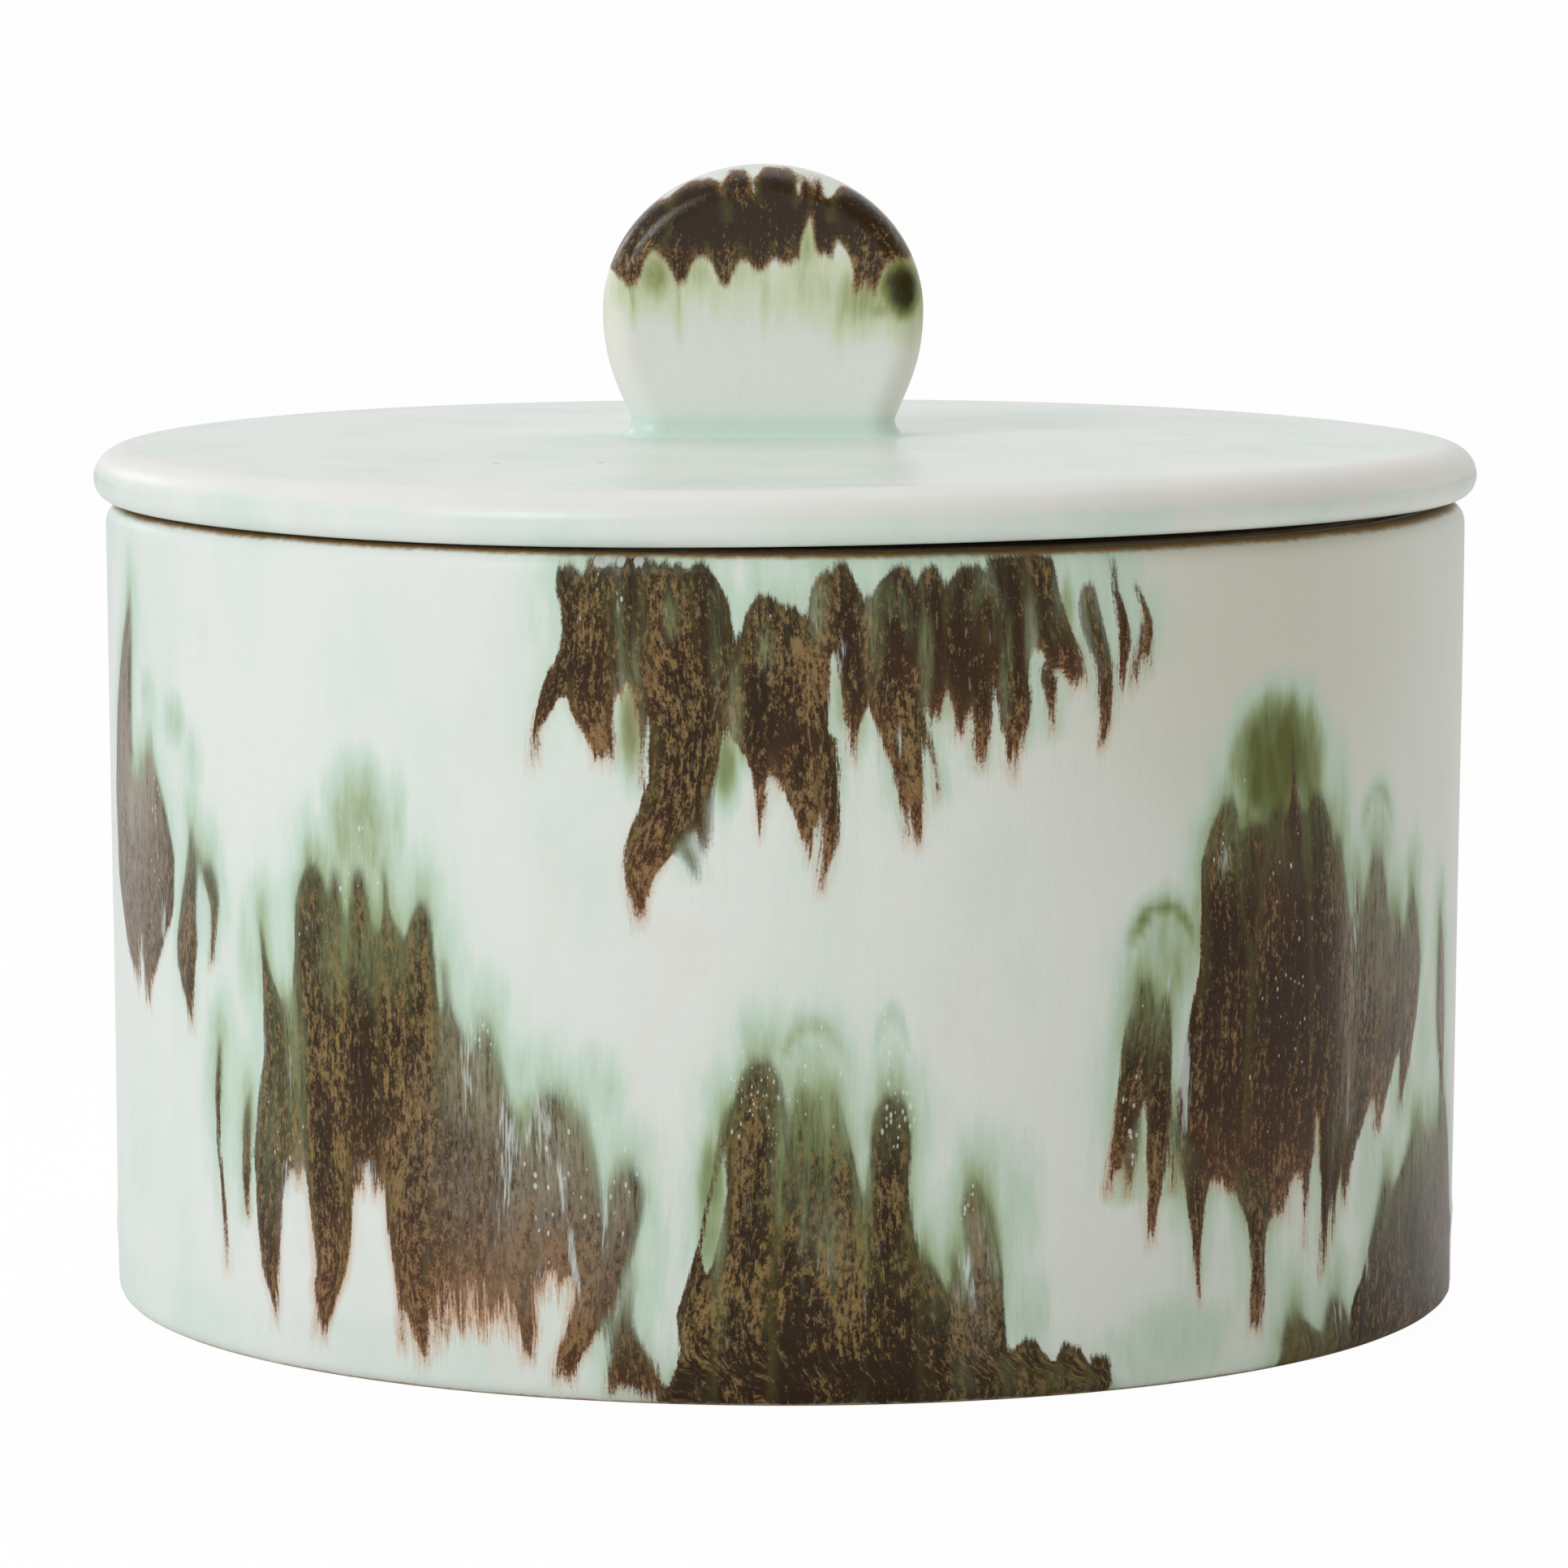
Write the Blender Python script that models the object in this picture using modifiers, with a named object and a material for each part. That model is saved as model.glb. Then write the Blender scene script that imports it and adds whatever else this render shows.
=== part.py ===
"""Cookie jar: a glazed stoneware pot and its lid, which is a plate with a locating ring and a slab knob.

Units are metres, +Z is up, and the origin is the centre of the foot's plane.
The knob's broad faces look along -Y and +Y.
"""
import math

import bmesh
import bpy

# Fit between pieces
TOUCH_GAP = 0.0003
RING_CLEARANCE = 0.0014

# Pot
JAR_HEIGHT = 0.0950
JAR_RADIUS = 0.0808
JAR_TAPER = 0.0008
SHOULDER_RADIUS = 0.0024
RIM_WALL = 0.0055
RIM_INNER_RADIUS = 0.0014
FOOT_WALL = 0.0060
FOOT_ROUND = 0.0020
FLOOR_THICKNESS = 0.0065
FLOOR_CORNER_RADIUS = 0.0060
FOOT_RING_WIDTH = 0.0062
FOOT_RECESS_DEPTH = 0.0016
FOOT_RECESS_SLOPE = 0.0024

# Lid plate
LID_OVERHANG = 0.0014
LID_UNDERCUT = 0.0010
LID_THICKNESS = 0.0063
LID_EDGE_RISE = 0.0026
LID_EDGE_ROUND = 0.0042
LID_DOME = 0.0009

# Locating ring under the lid
RING_DEPTH = 0.0090
RING_WALL = 0.0050
RING_DRAFT = 0.0006
RING_EDGE_RADIUS = 0.0012

# Knob
KNOB_HEIGHT = 0.0318
KNOB_WIDTH = 0.0380
KNOB_WIDEST_RISE = 0.0148
KNOB_NECK_WIDTH = 0.0313
KNOB_NECK_RISE = 0.0018
KNOB_THICKNESS = 0.0125
KNOB_EDGE_RADIUS = 0.0036
KNOB_FILLET = 0.0018
KNOB_OFFSET = -0.0026

# Form of the knob's curves, as shares of the lengths that they join
CIRCLE_HANDLE = 0.5523
SIDE_HANDLE = 0.5
NECK_HANDLE_LEAN = 0.45
NECK_HANDLE_RISE = 0.3
FILLET_SPREAD = 0.75
FILLET_CROWDING = 1.5

# Fineness of the round shapes
TURN_STEPS = 80
ARC_STEPS = 5
LIP_STEPS = 3
DOME_STEPS = 4
CROWN_STEPS = 6
UNDERCUT_STEPS = 4
OUTLINE_STEPS = 9
KNOB_EDGE_STEPS = 3
FILLET_STEPS = 4
SHARP_ANGLE = 40.0
MERGE = 0.00001

# Heights and radii that follow from the sizes above
FOOT_RADIUS = JAR_RADIUS - JAR_TAPER
RIM_INNER_WALL = JAR_RADIUS - RIM_WALL
FLOOR_TOP = FOOT_RECESS_DEPTH + FLOOR_THICKNESS
LID_BOTTOM = JAR_HEIGHT + TOUCH_GAP
LID_RADIUS = JAR_RADIUS + LID_OVERHANG
LID_EDGE_TOP = LID_BOTTOM + LID_THICKNESS
LID_CROWN = LID_EDGE_TOP + LID_DOME
RING_TOP = LID_BOTTOM - TOUCH_GAP
RING_RADIUS = RIM_INNER_WALL - RING_CLEARANCE
KNOB_FOOT = LID_CROWN + TOUCH_GAP

STONEWARE = (0.80, 0.84, 0.79)
LID_GLAZE = (0.76, 0.85, 0.79)
BARE_CLAY = (0.72, 0.62, 0.48)
KNOB_GLAZE = (0.30, 0.24, 0.19)


def clear_scene():
    """Removes every object that is in the scene."""
    for old in list(bpy.data.objects):
        bpy.data.objects.remove(old, do_unlink=True)


def make_collection(name):
    """Adds a collection to the scene and returns it."""
    group = bpy.data.collections.new(name)
    bpy.context.scene.collection.children.link(group)
    return group


def make_material(name, colour, roughness):
    """Returns a Principled material of one colour."""
    material = bpy.data.materials.new(name)
    material.use_nodes = True
    shader = material.node_tree.nodes["Principled BSDF"]
    shader.inputs["Base Color"].default_value = (*colour, 1.0)
    shader.inputs["Roughness"].default_value = roughness
    shader.inputs["Metallic"].default_value = 0.0
    return material


def arc(centre, radii, start_degrees, end_degrees, steps=ARC_STEPS):
    """Returns points on a circle's or an ellipse's arc in the profile plane, both ends included."""
    points = []
    for index in range(steps + 1):
        angle = math.radians(start_degrees + (end_degrees - start_degrees) * index / steps)
        points.append((centre[0] + radii[0] * math.cos(angle), centre[1] + radii[1] * math.sin(angle)))
    return points


def turned(name, profile, material, group, closed):
    """Turns a profile of (radius, height) points about the Z axis with a Screw modifier."""
    mesh = bpy.data.meshes.new(name)
    sketch = bmesh.new()
    corners = [sketch.verts.new((radius, 0.0, height)) for radius, height in profile]
    for first, second in zip(corners, corners[1:]):
        sketch.edges.new((first, second))
    if closed:
        sketch.edges.new((corners[-1], corners[0]))
    sketch.to_mesh(mesh)
    sketch.free()
    piece = bpy.data.objects.new(name, mesh)
    piece.data.materials.append(material)
    group.objects.link(piece)
    screw = piece.modifiers.new("Turn", "SCREW")
    screw.steps = TURN_STEPS
    screw.render_steps = TURN_STEPS
    screw.use_merge_vertices = True
    screw.merge_threshold = MERGE
    screw.use_smooth_shade = True
    return piece


def jar_profile():
    """Outline of the pot's wall: inside floor, inner wall, rim, outer wall, foot ring and recess."""
    inner_foot = FOOT_RADIUS - FOOT_WALL
    ring_inner = FOOT_RADIUS - FOOT_ROUND - FOOT_RING_WIDTH
    floor_corner = (inner_foot - FLOOR_CORNER_RADIUS, FLOOR_TOP + FLOOR_CORNER_RADIUS)
    inner_lip = (RIM_INNER_WALL + RIM_INNER_RADIUS, JAR_HEIGHT - RIM_INNER_RADIUS)
    shoulder = (JAR_RADIUS - SHOULDER_RADIUS, JAR_HEIGHT - SHOULDER_RADIUS)
    foot_corner = (FOOT_RADIUS - FOOT_ROUND, FOOT_ROUND)
    points = [(0.0, FLOOR_TOP)]
    points += arc(floor_corner, (FLOOR_CORNER_RADIUS, FLOOR_CORNER_RADIUS), -90, 0)
    points += arc(inner_lip, (RIM_INNER_RADIUS, RIM_INNER_RADIUS), 180, 90, LIP_STEPS)
    points += arc(shoulder, (SHOULDER_RADIUS, SHOULDER_RADIUS), 90, 0)
    points += arc(foot_corner, (FOOT_ROUND, FOOT_ROUND), 0, -90)
    points += [(ring_inner, 0.0), (ring_inner - FOOT_RECESS_SLOPE, FOOT_RECESS_DEPTH), (0.0, FOOT_RECESS_DEPTH)]
    return points


def lid_profile():
    """Outline of the lid plate: domed top, rounded edge, sloping underside of the edge, flat bottom."""
    seat_radius = JAR_RADIUS - LID_UNDERCUT
    edge_height = LID_BOTTOM + LID_EDGE_RISE
    crown_radius = LID_RADIUS - LID_EDGE_ROUND
    points = []
    for index in range(DOME_STEPS):
        share = index / DOME_STEPS
        points.append((crown_radius * share, LID_EDGE_TOP + LID_DOME * (1.0 - share * share)))
    crown = (LID_EDGE_ROUND, LID_EDGE_TOP - edge_height)
    undercut = (LID_RADIUS - seat_radius, LID_EDGE_RISE)
    points += arc((crown_radius, edge_height), crown, 90, 0, CROWN_STEPS)
    points += arc((seat_radius, edge_height), undercut, 0, -90, UNDERCUT_STEPS)[1:]
    points.append((0.0, LID_BOTTOM))
    return points


def ring_profile():
    """Outline of the locating ring's wall, which narrows a little towards its lower edge."""
    bottom = RING_TOP - RING_DEPTH
    outer_low = (RING_RADIUS - RING_DRAFT - RING_EDGE_RADIUS, bottom + RING_EDGE_RADIUS)
    points = [(RING_RADIUS, RING_TOP)]
    points += arc(outer_low, (RING_EDGE_RADIUS, RING_EDGE_RADIUS), 0, -90, LIP_STEPS)
    points += [(RING_RADIUS - RING_WALL + RING_DRAFT, bottom), (RING_RADIUS - RING_WALL, RING_TOP)]
    return points


def knob_outline():
    """Returns a flat closed curve of the knob seen from the front, drawn below its foot to be trimmed."""
    half = KNOB_WIDTH / 2.0
    neck = KNOB_NECK_WIDTH / 2.0
    widest = KNOB_FOOT + KNOB_WIDEST_RISE
    top = KNOB_FOOT + KNOB_HEIGHT
    neck_height = KNOB_FOOT + KNOB_NECK_RISE
    below = KNOB_FOOT - 2.0 * KNOB_EDGE_RADIUS
    stub = (neck_height - below) * NECK_HANDLE_RISE
    rise = (top - widest) * CIRCLE_HANDLE
    fall = (widest - neck_height) * SIDE_HANDLE
    lean = (half - neck) * NECK_HANDLE_LEAN
    lift = (widest - neck_height) * NECK_HANDLE_RISE
    right_side = [
        ((neck, below), (0.0, stub), (0.0, -stub)),
        ((neck, neck_height), (lean, lift), (0.0, -stub)),
        ((half, widest), (0.0, rise), (0.0, -fall)),
    ]
    crown = [((0.0, top), (-half * CIRCLE_HANDLE, 0.0), (half * CIRCLE_HANDLE, 0.0))]
    left_side = [((-x, z), (-bx, bz), (-ax, az)) for (x, z), (ax, az), (bx, bz) in reversed(right_side)]
    points = right_side + crown + left_side

    curve = bpy.data.curves.new("knob_outline", "CURVE")
    curve.dimensions = "2D"
    curve.fill_mode = "BOTH"
    curve.resolution_u = OUTLINE_STEPS
    curve.extrude = KNOB_THICKNESS / 2.0 - KNOB_EDGE_RADIUS
    curve.bevel_depth = KNOB_EDGE_RADIUS
    curve.bevel_resolution = KNOB_EDGE_STEPS
    curve.offset = -KNOB_EDGE_RADIUS
    spline = curve.splines.new("BEZIER")
    spline.bezier_points.add(len(points) - 1)
    for place, (at, ahead, behind) in zip(spline.bezier_points, points):
        place.handle_left_type = "FREE"
        place.handle_right_type = "FREE"
        place.co = (at[0], at[1], 0.0)
        place.handle_right = (at[0] + ahead[0], at[1] + ahead[1], 0.0)
        place.handle_left = (at[0] + behind[0], at[1] + behind[1], 0.0)
    spline.use_cyclic_u = True
    return bpy.data.objects.new("knob_outline", curve)


def fillet_reach(height):
    """How far the knob's foot flares outwards at a height above the foot."""
    if height >= KNOB_FILLET:
        return 0.0
    drop = KNOB_FILLET - height
    return KNOB_FILLET - math.sqrt(max(KNOB_FILLET * KNOB_FILLET - drop * drop, 0.0))


def flare_foot(sketch):
    """Cuts level lines round the knob's foot and moves them outwards into a concave fillet."""
    for index in range(1, FILLET_STEPS + 1):
        level = KNOB_FOOT + KNOB_FILLET * (index / FILLET_STEPS) ** FILLET_CROWDING
        everything = sketch.verts[:] + sketch.edges[:] + sketch.faces[:]
        bmesh.ops.bisect_plane(sketch, geom=everything, dist=MERGE, plane_co=(0, 0, level), plane_no=(0, 0, 1))
    flat_x = KNOB_NECK_WIDTH / 2.0 - KNOB_EDGE_RADIUS
    flat_y = KNOB_THICKNESS / 2.0 - KNOB_EDGE_RADIUS
    for vertex in sketch.verts:
        reach = fillet_reach(vertex.co.z - KNOB_FOOT) * FILLET_SPREAD
        if reach <= 0.0:
            continue
        away_x = max(abs(vertex.co.x) - flat_x, 0.0)
        away_y = max(abs(vertex.co.y) - flat_y, 0.0)
        length = math.hypot(away_x, away_y)
        if length > 0.0:
            vertex.co.x += math.copysign(away_x / length * reach, vertex.co.x)
            vertex.co.y += math.copysign(away_y / length * reach, vertex.co.y)


def build_knob(material, group):
    """Makes the knob from its outline: a slab with rounded edges, trimmed at its foot and flared there."""
    outline = knob_outline()
    group.objects.link(outline)
    bpy.context.view_layer.update()
    evaluated = outline.evaluated_get(bpy.context.evaluated_depsgraph_get())
    mesh = bpy.data.meshes.new_from_object(evaluated)
    sketch = bmesh.new()
    sketch.from_mesh(mesh)
    bmesh.ops.remove_doubles(sketch, verts=sketch.verts, dist=MERGE)
    for vertex in sketch.verts:
        vertex.co = (vertex.co.x, -vertex.co.z, vertex.co.y)
    everything = sketch.verts[:] + sketch.edges[:] + sketch.faces[:]
    cut = bmesh.ops.bisect_plane(
        sketch, geom=everything, dist=MERGE, plane_co=(0, 0, KNOB_FOOT), plane_no=(0, 0, 1), clear_inner=True
    )
    rim = [item for item in cut["geom_cut"] if isinstance(item, bmesh.types.BMEdge)]
    bmesh.ops.holes_fill(sketch, edges=rim)
    flare_foot(sketch)
    bmesh.ops.recalc_face_normals(sketch, faces=sketch.faces)
    sketch.to_mesh(mesh)
    sketch.free()
    bpy.data.objects.remove(outline, do_unlink=True)
    mesh.materials.clear()
    mesh.materials.append(material)
    mesh.shade_smooth()
    mesh.set_sharp_from_angle(angle=math.radians(SHARP_ANGLE))
    knob = bpy.data.objects.new("lid_knob", mesh)
    knob.location = (KNOB_OFFSET, 0.0, 0.0)
    group.objects.link(knob)
    return knob


def main():
    """Builds the pot and the lid, whose pieces hang on one empty on the axis that the lid lifts along."""
    clear_scene()
    parts = make_collection("cookie_jar")
    turned("jar_body", jar_profile(), make_material("stoneware_glaze", STONEWARE, 0.3), parts, False)
    plate = turned("lid_plate", lid_profile(), make_material("lid_glaze", LID_GLAZE, 0.35), parts, False)
    ring = turned("lid_ring", ring_profile(), make_material("bare_clay", BARE_CLAY, 0.8), parts, True)
    knob = build_knob(make_material("knob_glaze", KNOB_GLAZE, 0.3), parts)
    lift = bpy.data.objects.new("lid_lift", None)
    parts.objects.link(lift)
    for piece in (plate, ring, knob):
        piece.parent = lift


main()
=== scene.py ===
"""Looks of the stoneware cookie jar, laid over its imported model.

Lengths are metres in the frame of the model: +Z up, -Y towards the camera, the origin in the middle of
the foot's plane. Places on the pot's wall are given in degrees round the axis (0 faces the camera,
positive to its right) and in millimetres above the foot.
"""

import logging
import math
from dataclasses import dataclass, field
from enum import Enum
from typing import Dict, List, Sequence, Tuple, Union

import bmesh
import bpy
import numpy as np
from mathutils import Matrix, Vector


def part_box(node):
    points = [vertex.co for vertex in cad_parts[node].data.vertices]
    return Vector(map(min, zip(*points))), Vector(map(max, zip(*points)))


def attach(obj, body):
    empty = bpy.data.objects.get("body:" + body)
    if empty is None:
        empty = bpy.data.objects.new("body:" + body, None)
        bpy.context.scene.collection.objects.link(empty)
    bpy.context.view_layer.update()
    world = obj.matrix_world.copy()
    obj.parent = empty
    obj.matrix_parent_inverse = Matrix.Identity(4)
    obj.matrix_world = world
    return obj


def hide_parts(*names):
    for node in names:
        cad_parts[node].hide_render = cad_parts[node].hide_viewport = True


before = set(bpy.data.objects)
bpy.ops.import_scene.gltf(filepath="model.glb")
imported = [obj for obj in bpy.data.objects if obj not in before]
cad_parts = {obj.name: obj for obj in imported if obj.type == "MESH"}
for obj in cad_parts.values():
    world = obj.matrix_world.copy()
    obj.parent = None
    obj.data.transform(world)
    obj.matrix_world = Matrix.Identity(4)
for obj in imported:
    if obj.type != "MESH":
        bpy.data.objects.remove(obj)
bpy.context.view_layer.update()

LOG = logging.getLogger("cookie_jar")
MM = 0.001
MERGE = 0.000002
TINY = 1e-9
FULL_TURN = 360.0
NO_TURN = 1000.0
TONE_STEP = 0.618

Point = Tuple[float, float]
Colour = Tuple[float, float, float]
Place = Tuple[float, float, float]
Value = Union[float, Colour, bpy.types.NodeSocket]
Sockets = bpy.types.bpy_prop_collection


def srgb(red: int, green: int, blue: int) -> Colour:
    """Turns a colour as it is seen on a screen, 0 to 255, into the linear one that a shader takes.

    Args:
        red: Red, 0 to 255.
        green: Green, 0 to 255.
        blue: Blue, 0 to 255.

    Returns:
        The linear colour.
    """
    shares = [part / 255.0 for part in (red, green, blue)]
    return tuple(s / 12.92 if s <= 0.04045 else ((s + 0.055) / 1.055) ** 2.4 for s in shares)


def smoothstep(low: float, high: float, values: np.ndarray) -> np.ndarray:
    """Rises softly from 0 at low to 1 at high.

    Args:
        low: Where the rise starts.
        high: Where it ends.
        values: What is looked up.

    Returns:
        The share of the rise at each value.
    """
    share = np.clip((values - low) / (high - low), 0.0, 1.0)
    return share * share * (3.0 - 2.0 * share)


def arc(centre: Point, radii: Point, start: float, end: float, steps: int) -> List[Point]:
    """Points on an ellipse's arc in the plane of a profile, both ends included.

    Args:
        centre: Middle of the ellipse, as radius and height.
        radii: Half axes along the radius and the height.
        start: First angle in degrees, 0 outwards and 90 upwards.
        end: Last angle in degrees.
        steps: Number of steps between them.

    Returns:
        The points in order.
    """
    angles = [math.radians(start + (end - start) * step / steps) for step in range(steps + 1)]
    return [(centre[0] + radii[0] * math.cos(a), centre[1] + radii[1] * math.sin(a)) for a in angles]


def line(first: Point, last: Point, steps: int) -> List[Point]:
    """Points on a straight line, without its first one.

    Args:
        first: Where the line starts.
        last: Where it ends.
        steps: Number of steps between them.

    Returns:
        The points in order.
    """
    return [
        (first[0] + (last[0] - first[0]) * s / steps, first[1] + (last[1] - first[1]) * s / steps)
        for s in range(1, steps + 1)
    ]


def spin_profile(sketch: bmesh.types.BMesh, profile: Sequence[Point],
                 sectors: Sequence[Tuple[float, float, int, int]]) -> None:
    """Turns a profile round the Z axis, in sectors of different fineness that join up.

    Each sector starts as a narrow slice, which is doubled until it fills the sector.

    Args:
        sketch: The mesh that gets the turned wall.
        profile: Radius and height of each point.
        sectors: The start from the camera's side and the turn in degrees, the steps of the slice, and how
            often it is doubled, of each sector.
    """
    for start, turn, steps, doublings in sectors:
        earlier = set(sketch.verts)
        angle, share = math.radians(start), math.radians(turn) / 2 ** doublings
        corners = [sketch.verts.new((r * math.sin(angle), -r * math.cos(angle), z)) for r, z in profile]
        edges = [sketch.edges.new(pair) for pair in zip(corners, corners[1:])]
        bmesh.ops.spin(sketch, geom=corners + edges, cent=(0, 0, 0), axis=(0, 0, 1), angle=share,
                       steps=steps)
        grown = [vertex for vertex in sketch.verts if vertex not in earlier]
        for step in range(doublings):
            joined = {e for v in grown for e in v.link_edges} | {f for v in grown for f in v.link_faces}
            copied = bmesh.ops.duplicate(sketch, geom=grown + list(joined))["geom"]
            fresh = [part for part in copied if isinstance(part, bmesh.types.BMVert)]
            turned = Matrix.Rotation(share * 2 ** step, 3, "Z")
            bmesh.ops.rotate(sketch, verts=fresh, cent=(0, 0, 0), matrix=turned)
            grown += fresh
    bmesh.ops.remove_doubles(sketch, verts=sketch.verts, dist=MERGE)


def open_loops(sketch: bmesh.types.BMesh, height: float) -> List[bmesh.types.BMEdge]:
    """Finds the open edges of a mesh at a height.

    Args:
        sketch: The mesh.
        height: The height in metres.

    Returns:
        The edges that border one face and lie at that height.
    """
    return [
        edge for edge in sketch.edges
        if len(edge.link_faces) == 1 and all(abs(v.co.z - height) < 10 * MERGE for v in edge.verts)
    ]


def add_object(name: str, data: bpy.types.ID) -> bpy.types.Object:
    """Puts a mesh, a lamp or a camera into the scene."""
    made = bpy.data.objects.new(name, data)
    bpy.context.scene.collection.objects.link(made)
    return made


def finish_piece(sketch: bmesh.types.BMesh, name: str, sharp_degrees: float) -> bpy.types.Object:
    """Turns a finished sketch into an object with outward normals and smooth shading.

    Args:
        sketch: The mesh, which is freed.
        name: Name of the new piece.
        sharp_degrees: Edges that turn more than this stay sharp.

    Returns:
        The new object, at the origin.
    """
    bmesh.ops.recalc_face_normals(sketch, faces=sketch.faces)
    mesh = bpy.data.meshes.new(name)
    sketch.to_mesh(mesh)
    sketch.free()
    mesh.shade_smooth()
    mesh.set_sharp_from_angle(angle=math.radians(sharp_degrees))
    return add_object(name, mesh)


def read_points(mesh: bpy.types.Mesh) -> np.ndarray:
    """Returns a mesh's points as an array with a row for each."""
    values = np.empty(len(mesh.vertices) * 3)
    mesh.vertices.foreach_get("co", values)
    return values.reshape(-1, 3)


def write_points(mesh: bpy.types.Mesh, points: np.ndarray) -> None:
    """Moves a mesh's points to new places."""
    mesh.vertices.foreach_set("co", points.ravel())
    mesh.update()


# The glaze: runs that have flowed down the wall, and soft blooms of colour round them


@dataclass(frozen=True)
class Run:
    """One run of brown glaze, from its head down to its tip.

    Each station is a place across the surface (degrees on the wall, millimetres on the knob), a height
    and a width in millimetres. Soft says how gently the head fades in, glow how green it turns the glaze
    round it.
    """

    stations: Tuple[Tuple[float, float, float], ...]
    soft: float = 0.3
    glow: float = 0.6

    STEP = 0.25
    EASE = 0.8
    CORNER = 0.5
    END_SLOPE = 0.5
    SLIM = 4.9

    def track(self, column: int, height: np.ndarray) -> np.ndarray:
        """Looks up one column of the stations at each height, with the bends eased."""
        levels = np.arange(self.stations[-1][1] - 3.0, self.stations[0][1] + 3.0, self.STEP)
        rising = self.stations[::-1]
        values = np.interp(levels, [station[1] for station in rising],
                           [station[column] for station in rising])
        reach = int(3 * self.EASE / self.STEP)
        bell = np.exp(-0.5 * (np.arange(-reach, reach + 1) * self.STEP / self.EASE) ** 2)
        eased = np.convolve(np.pad(values, reach, mode="edge"), bell / bell.sum(), mode="valid")
        return np.interp(height, levels, eased)

    def trace(self, across: np.ndarray, height: np.ndarray, scale: float,
              turn: float) -> Dict[str, np.ndarray]:
        """Describes the run as each point of the surface sees it.

        Args:
            across: Places across the surface.
            height: Heights in millimetres.
            scale: Millimetres for one unit across.
            turn: Units in a full turn, past which the places repeat.

        Returns:
            The depth inside the outline in millimetres, negative outside; the nearness to the head, to the
            tip and to the middle line; the fading below the head; the sideways drift of the flow in
            millimetres; and the green glow.
        """
        top, bottom = self.stations[0][1], self.stations[-1][1]
        middle = self.track(0, height)
        offset = (across - middle + turn / 2.0) % turn - turn / 2.0
        half = self.track(2, height) / 2.0
        side = half - np.abs(offset) * scale
        depth = side
        for end in ((top - height) * self.END_SLOPE, (height - bottom) * self.END_SLOPE):
            blend = np.clip(0.5 + 0.5 * (end - depth) / self.CORNER, 0.0, 1.0)
            depth = end * (1.0 - blend) + depth * blend - self.CORNER * blend * (1.0 - blend)
        below_top = np.maximum(top - height, 0.0)
        away = np.maximum(-side, 0.0)
        over = np.maximum(height - top, 0.0)
        under = np.maximum(bottom - height, 0.0)
        near = np.exp(-(away / 1.9) ** 1.5 - (over / 5.0) ** 2 - (under / 1.0) ** 2
                      - (below_top / 17.0) ** 2)
        far = np.exp(-(away / 5.5) ** 2 - (over / 8.0) ** 2 - (under / 2.0) ** 2 - (below_top / 24.0) ** 2)
        slim = (half < self.SLIM) & (height < top) & (height > bottom)
        return {
            "depth": depth,
            "head": self.soft * np.exp(-below_top / (2.0 + 5.0 * self.soft)),
            "tip": np.exp(-np.maximum(height - bottom, 0.0) / 5.0),
            "fade": self.soft * np.clip(1.0 - below_top / 14.0, 0.0, 1.0) ** 1.6,
            "lobe": np.where(slim, np.clip(side / np.maximum(half, 0.2), 0.0, 1.0), 0.0),
            "drift": (middle - self.stations[0][0]) * scale,
            "glow": self.glow * (0.62 * near + 0.26 * far),
        }


class BloomKind(Enum):
    """What a bloom does to the glaze: the name of the attribute that it feeds."""

    HALO = "glaze_halo"
    MILK_AND_SHEEN = "glaze_milk"
    # Milky streaks in the glaze, and painted highlights at the rim's shoulder
    GOLD = "glaze_gold"
    SMOKE = "glaze_smoke"
    BUBBLE = "glaze_bubble"
    THIN = "glaze_thin"
    DARK = "glaze_dark"
    RUST = "glaze_rust"
    # Painted warm shade on the pale ground
    PAINTED_SHADE = "glaze_painted_shade"


@dataclass(frozen=True)
class Bloom:
    """A soft oval patch in the glaze, placed as a run's stations are."""

    kind: BloomKind
    across: float
    height: float
    width: float
    tall: float
    strength: float = 1.0
    edge: float = 0.5
    lean: float = 0.0
    ring: float = 0.0

    def amount(self, across: np.ndarray, height: np.ndarray, scale: float, turn: float) -> np.ndarray:
        """Returns how strongly the bloom shows at each point, given as Run.trace takes them."""
        rise = height - self.height
        offset = (across - self.across + turn / 2.0) % turn - turn / 2.0
        side = offset * scale + self.lean * rise
        oval = np.hypot(side / (self.width / 2.0), rise / (self.tall / 2.0))
        filled = np.exp(-0.7 * oval ** (1.0 + 1.0 / self.edge))
        arch = np.exp(-((oval - 0.85) / 0.27) ** 2) * smoothstep(-0.25 * self.tall, 0.3 * self.tall, rise)
        return self.strength * ((1.0 - self.ring) * filled + self.ring * arch)


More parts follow.
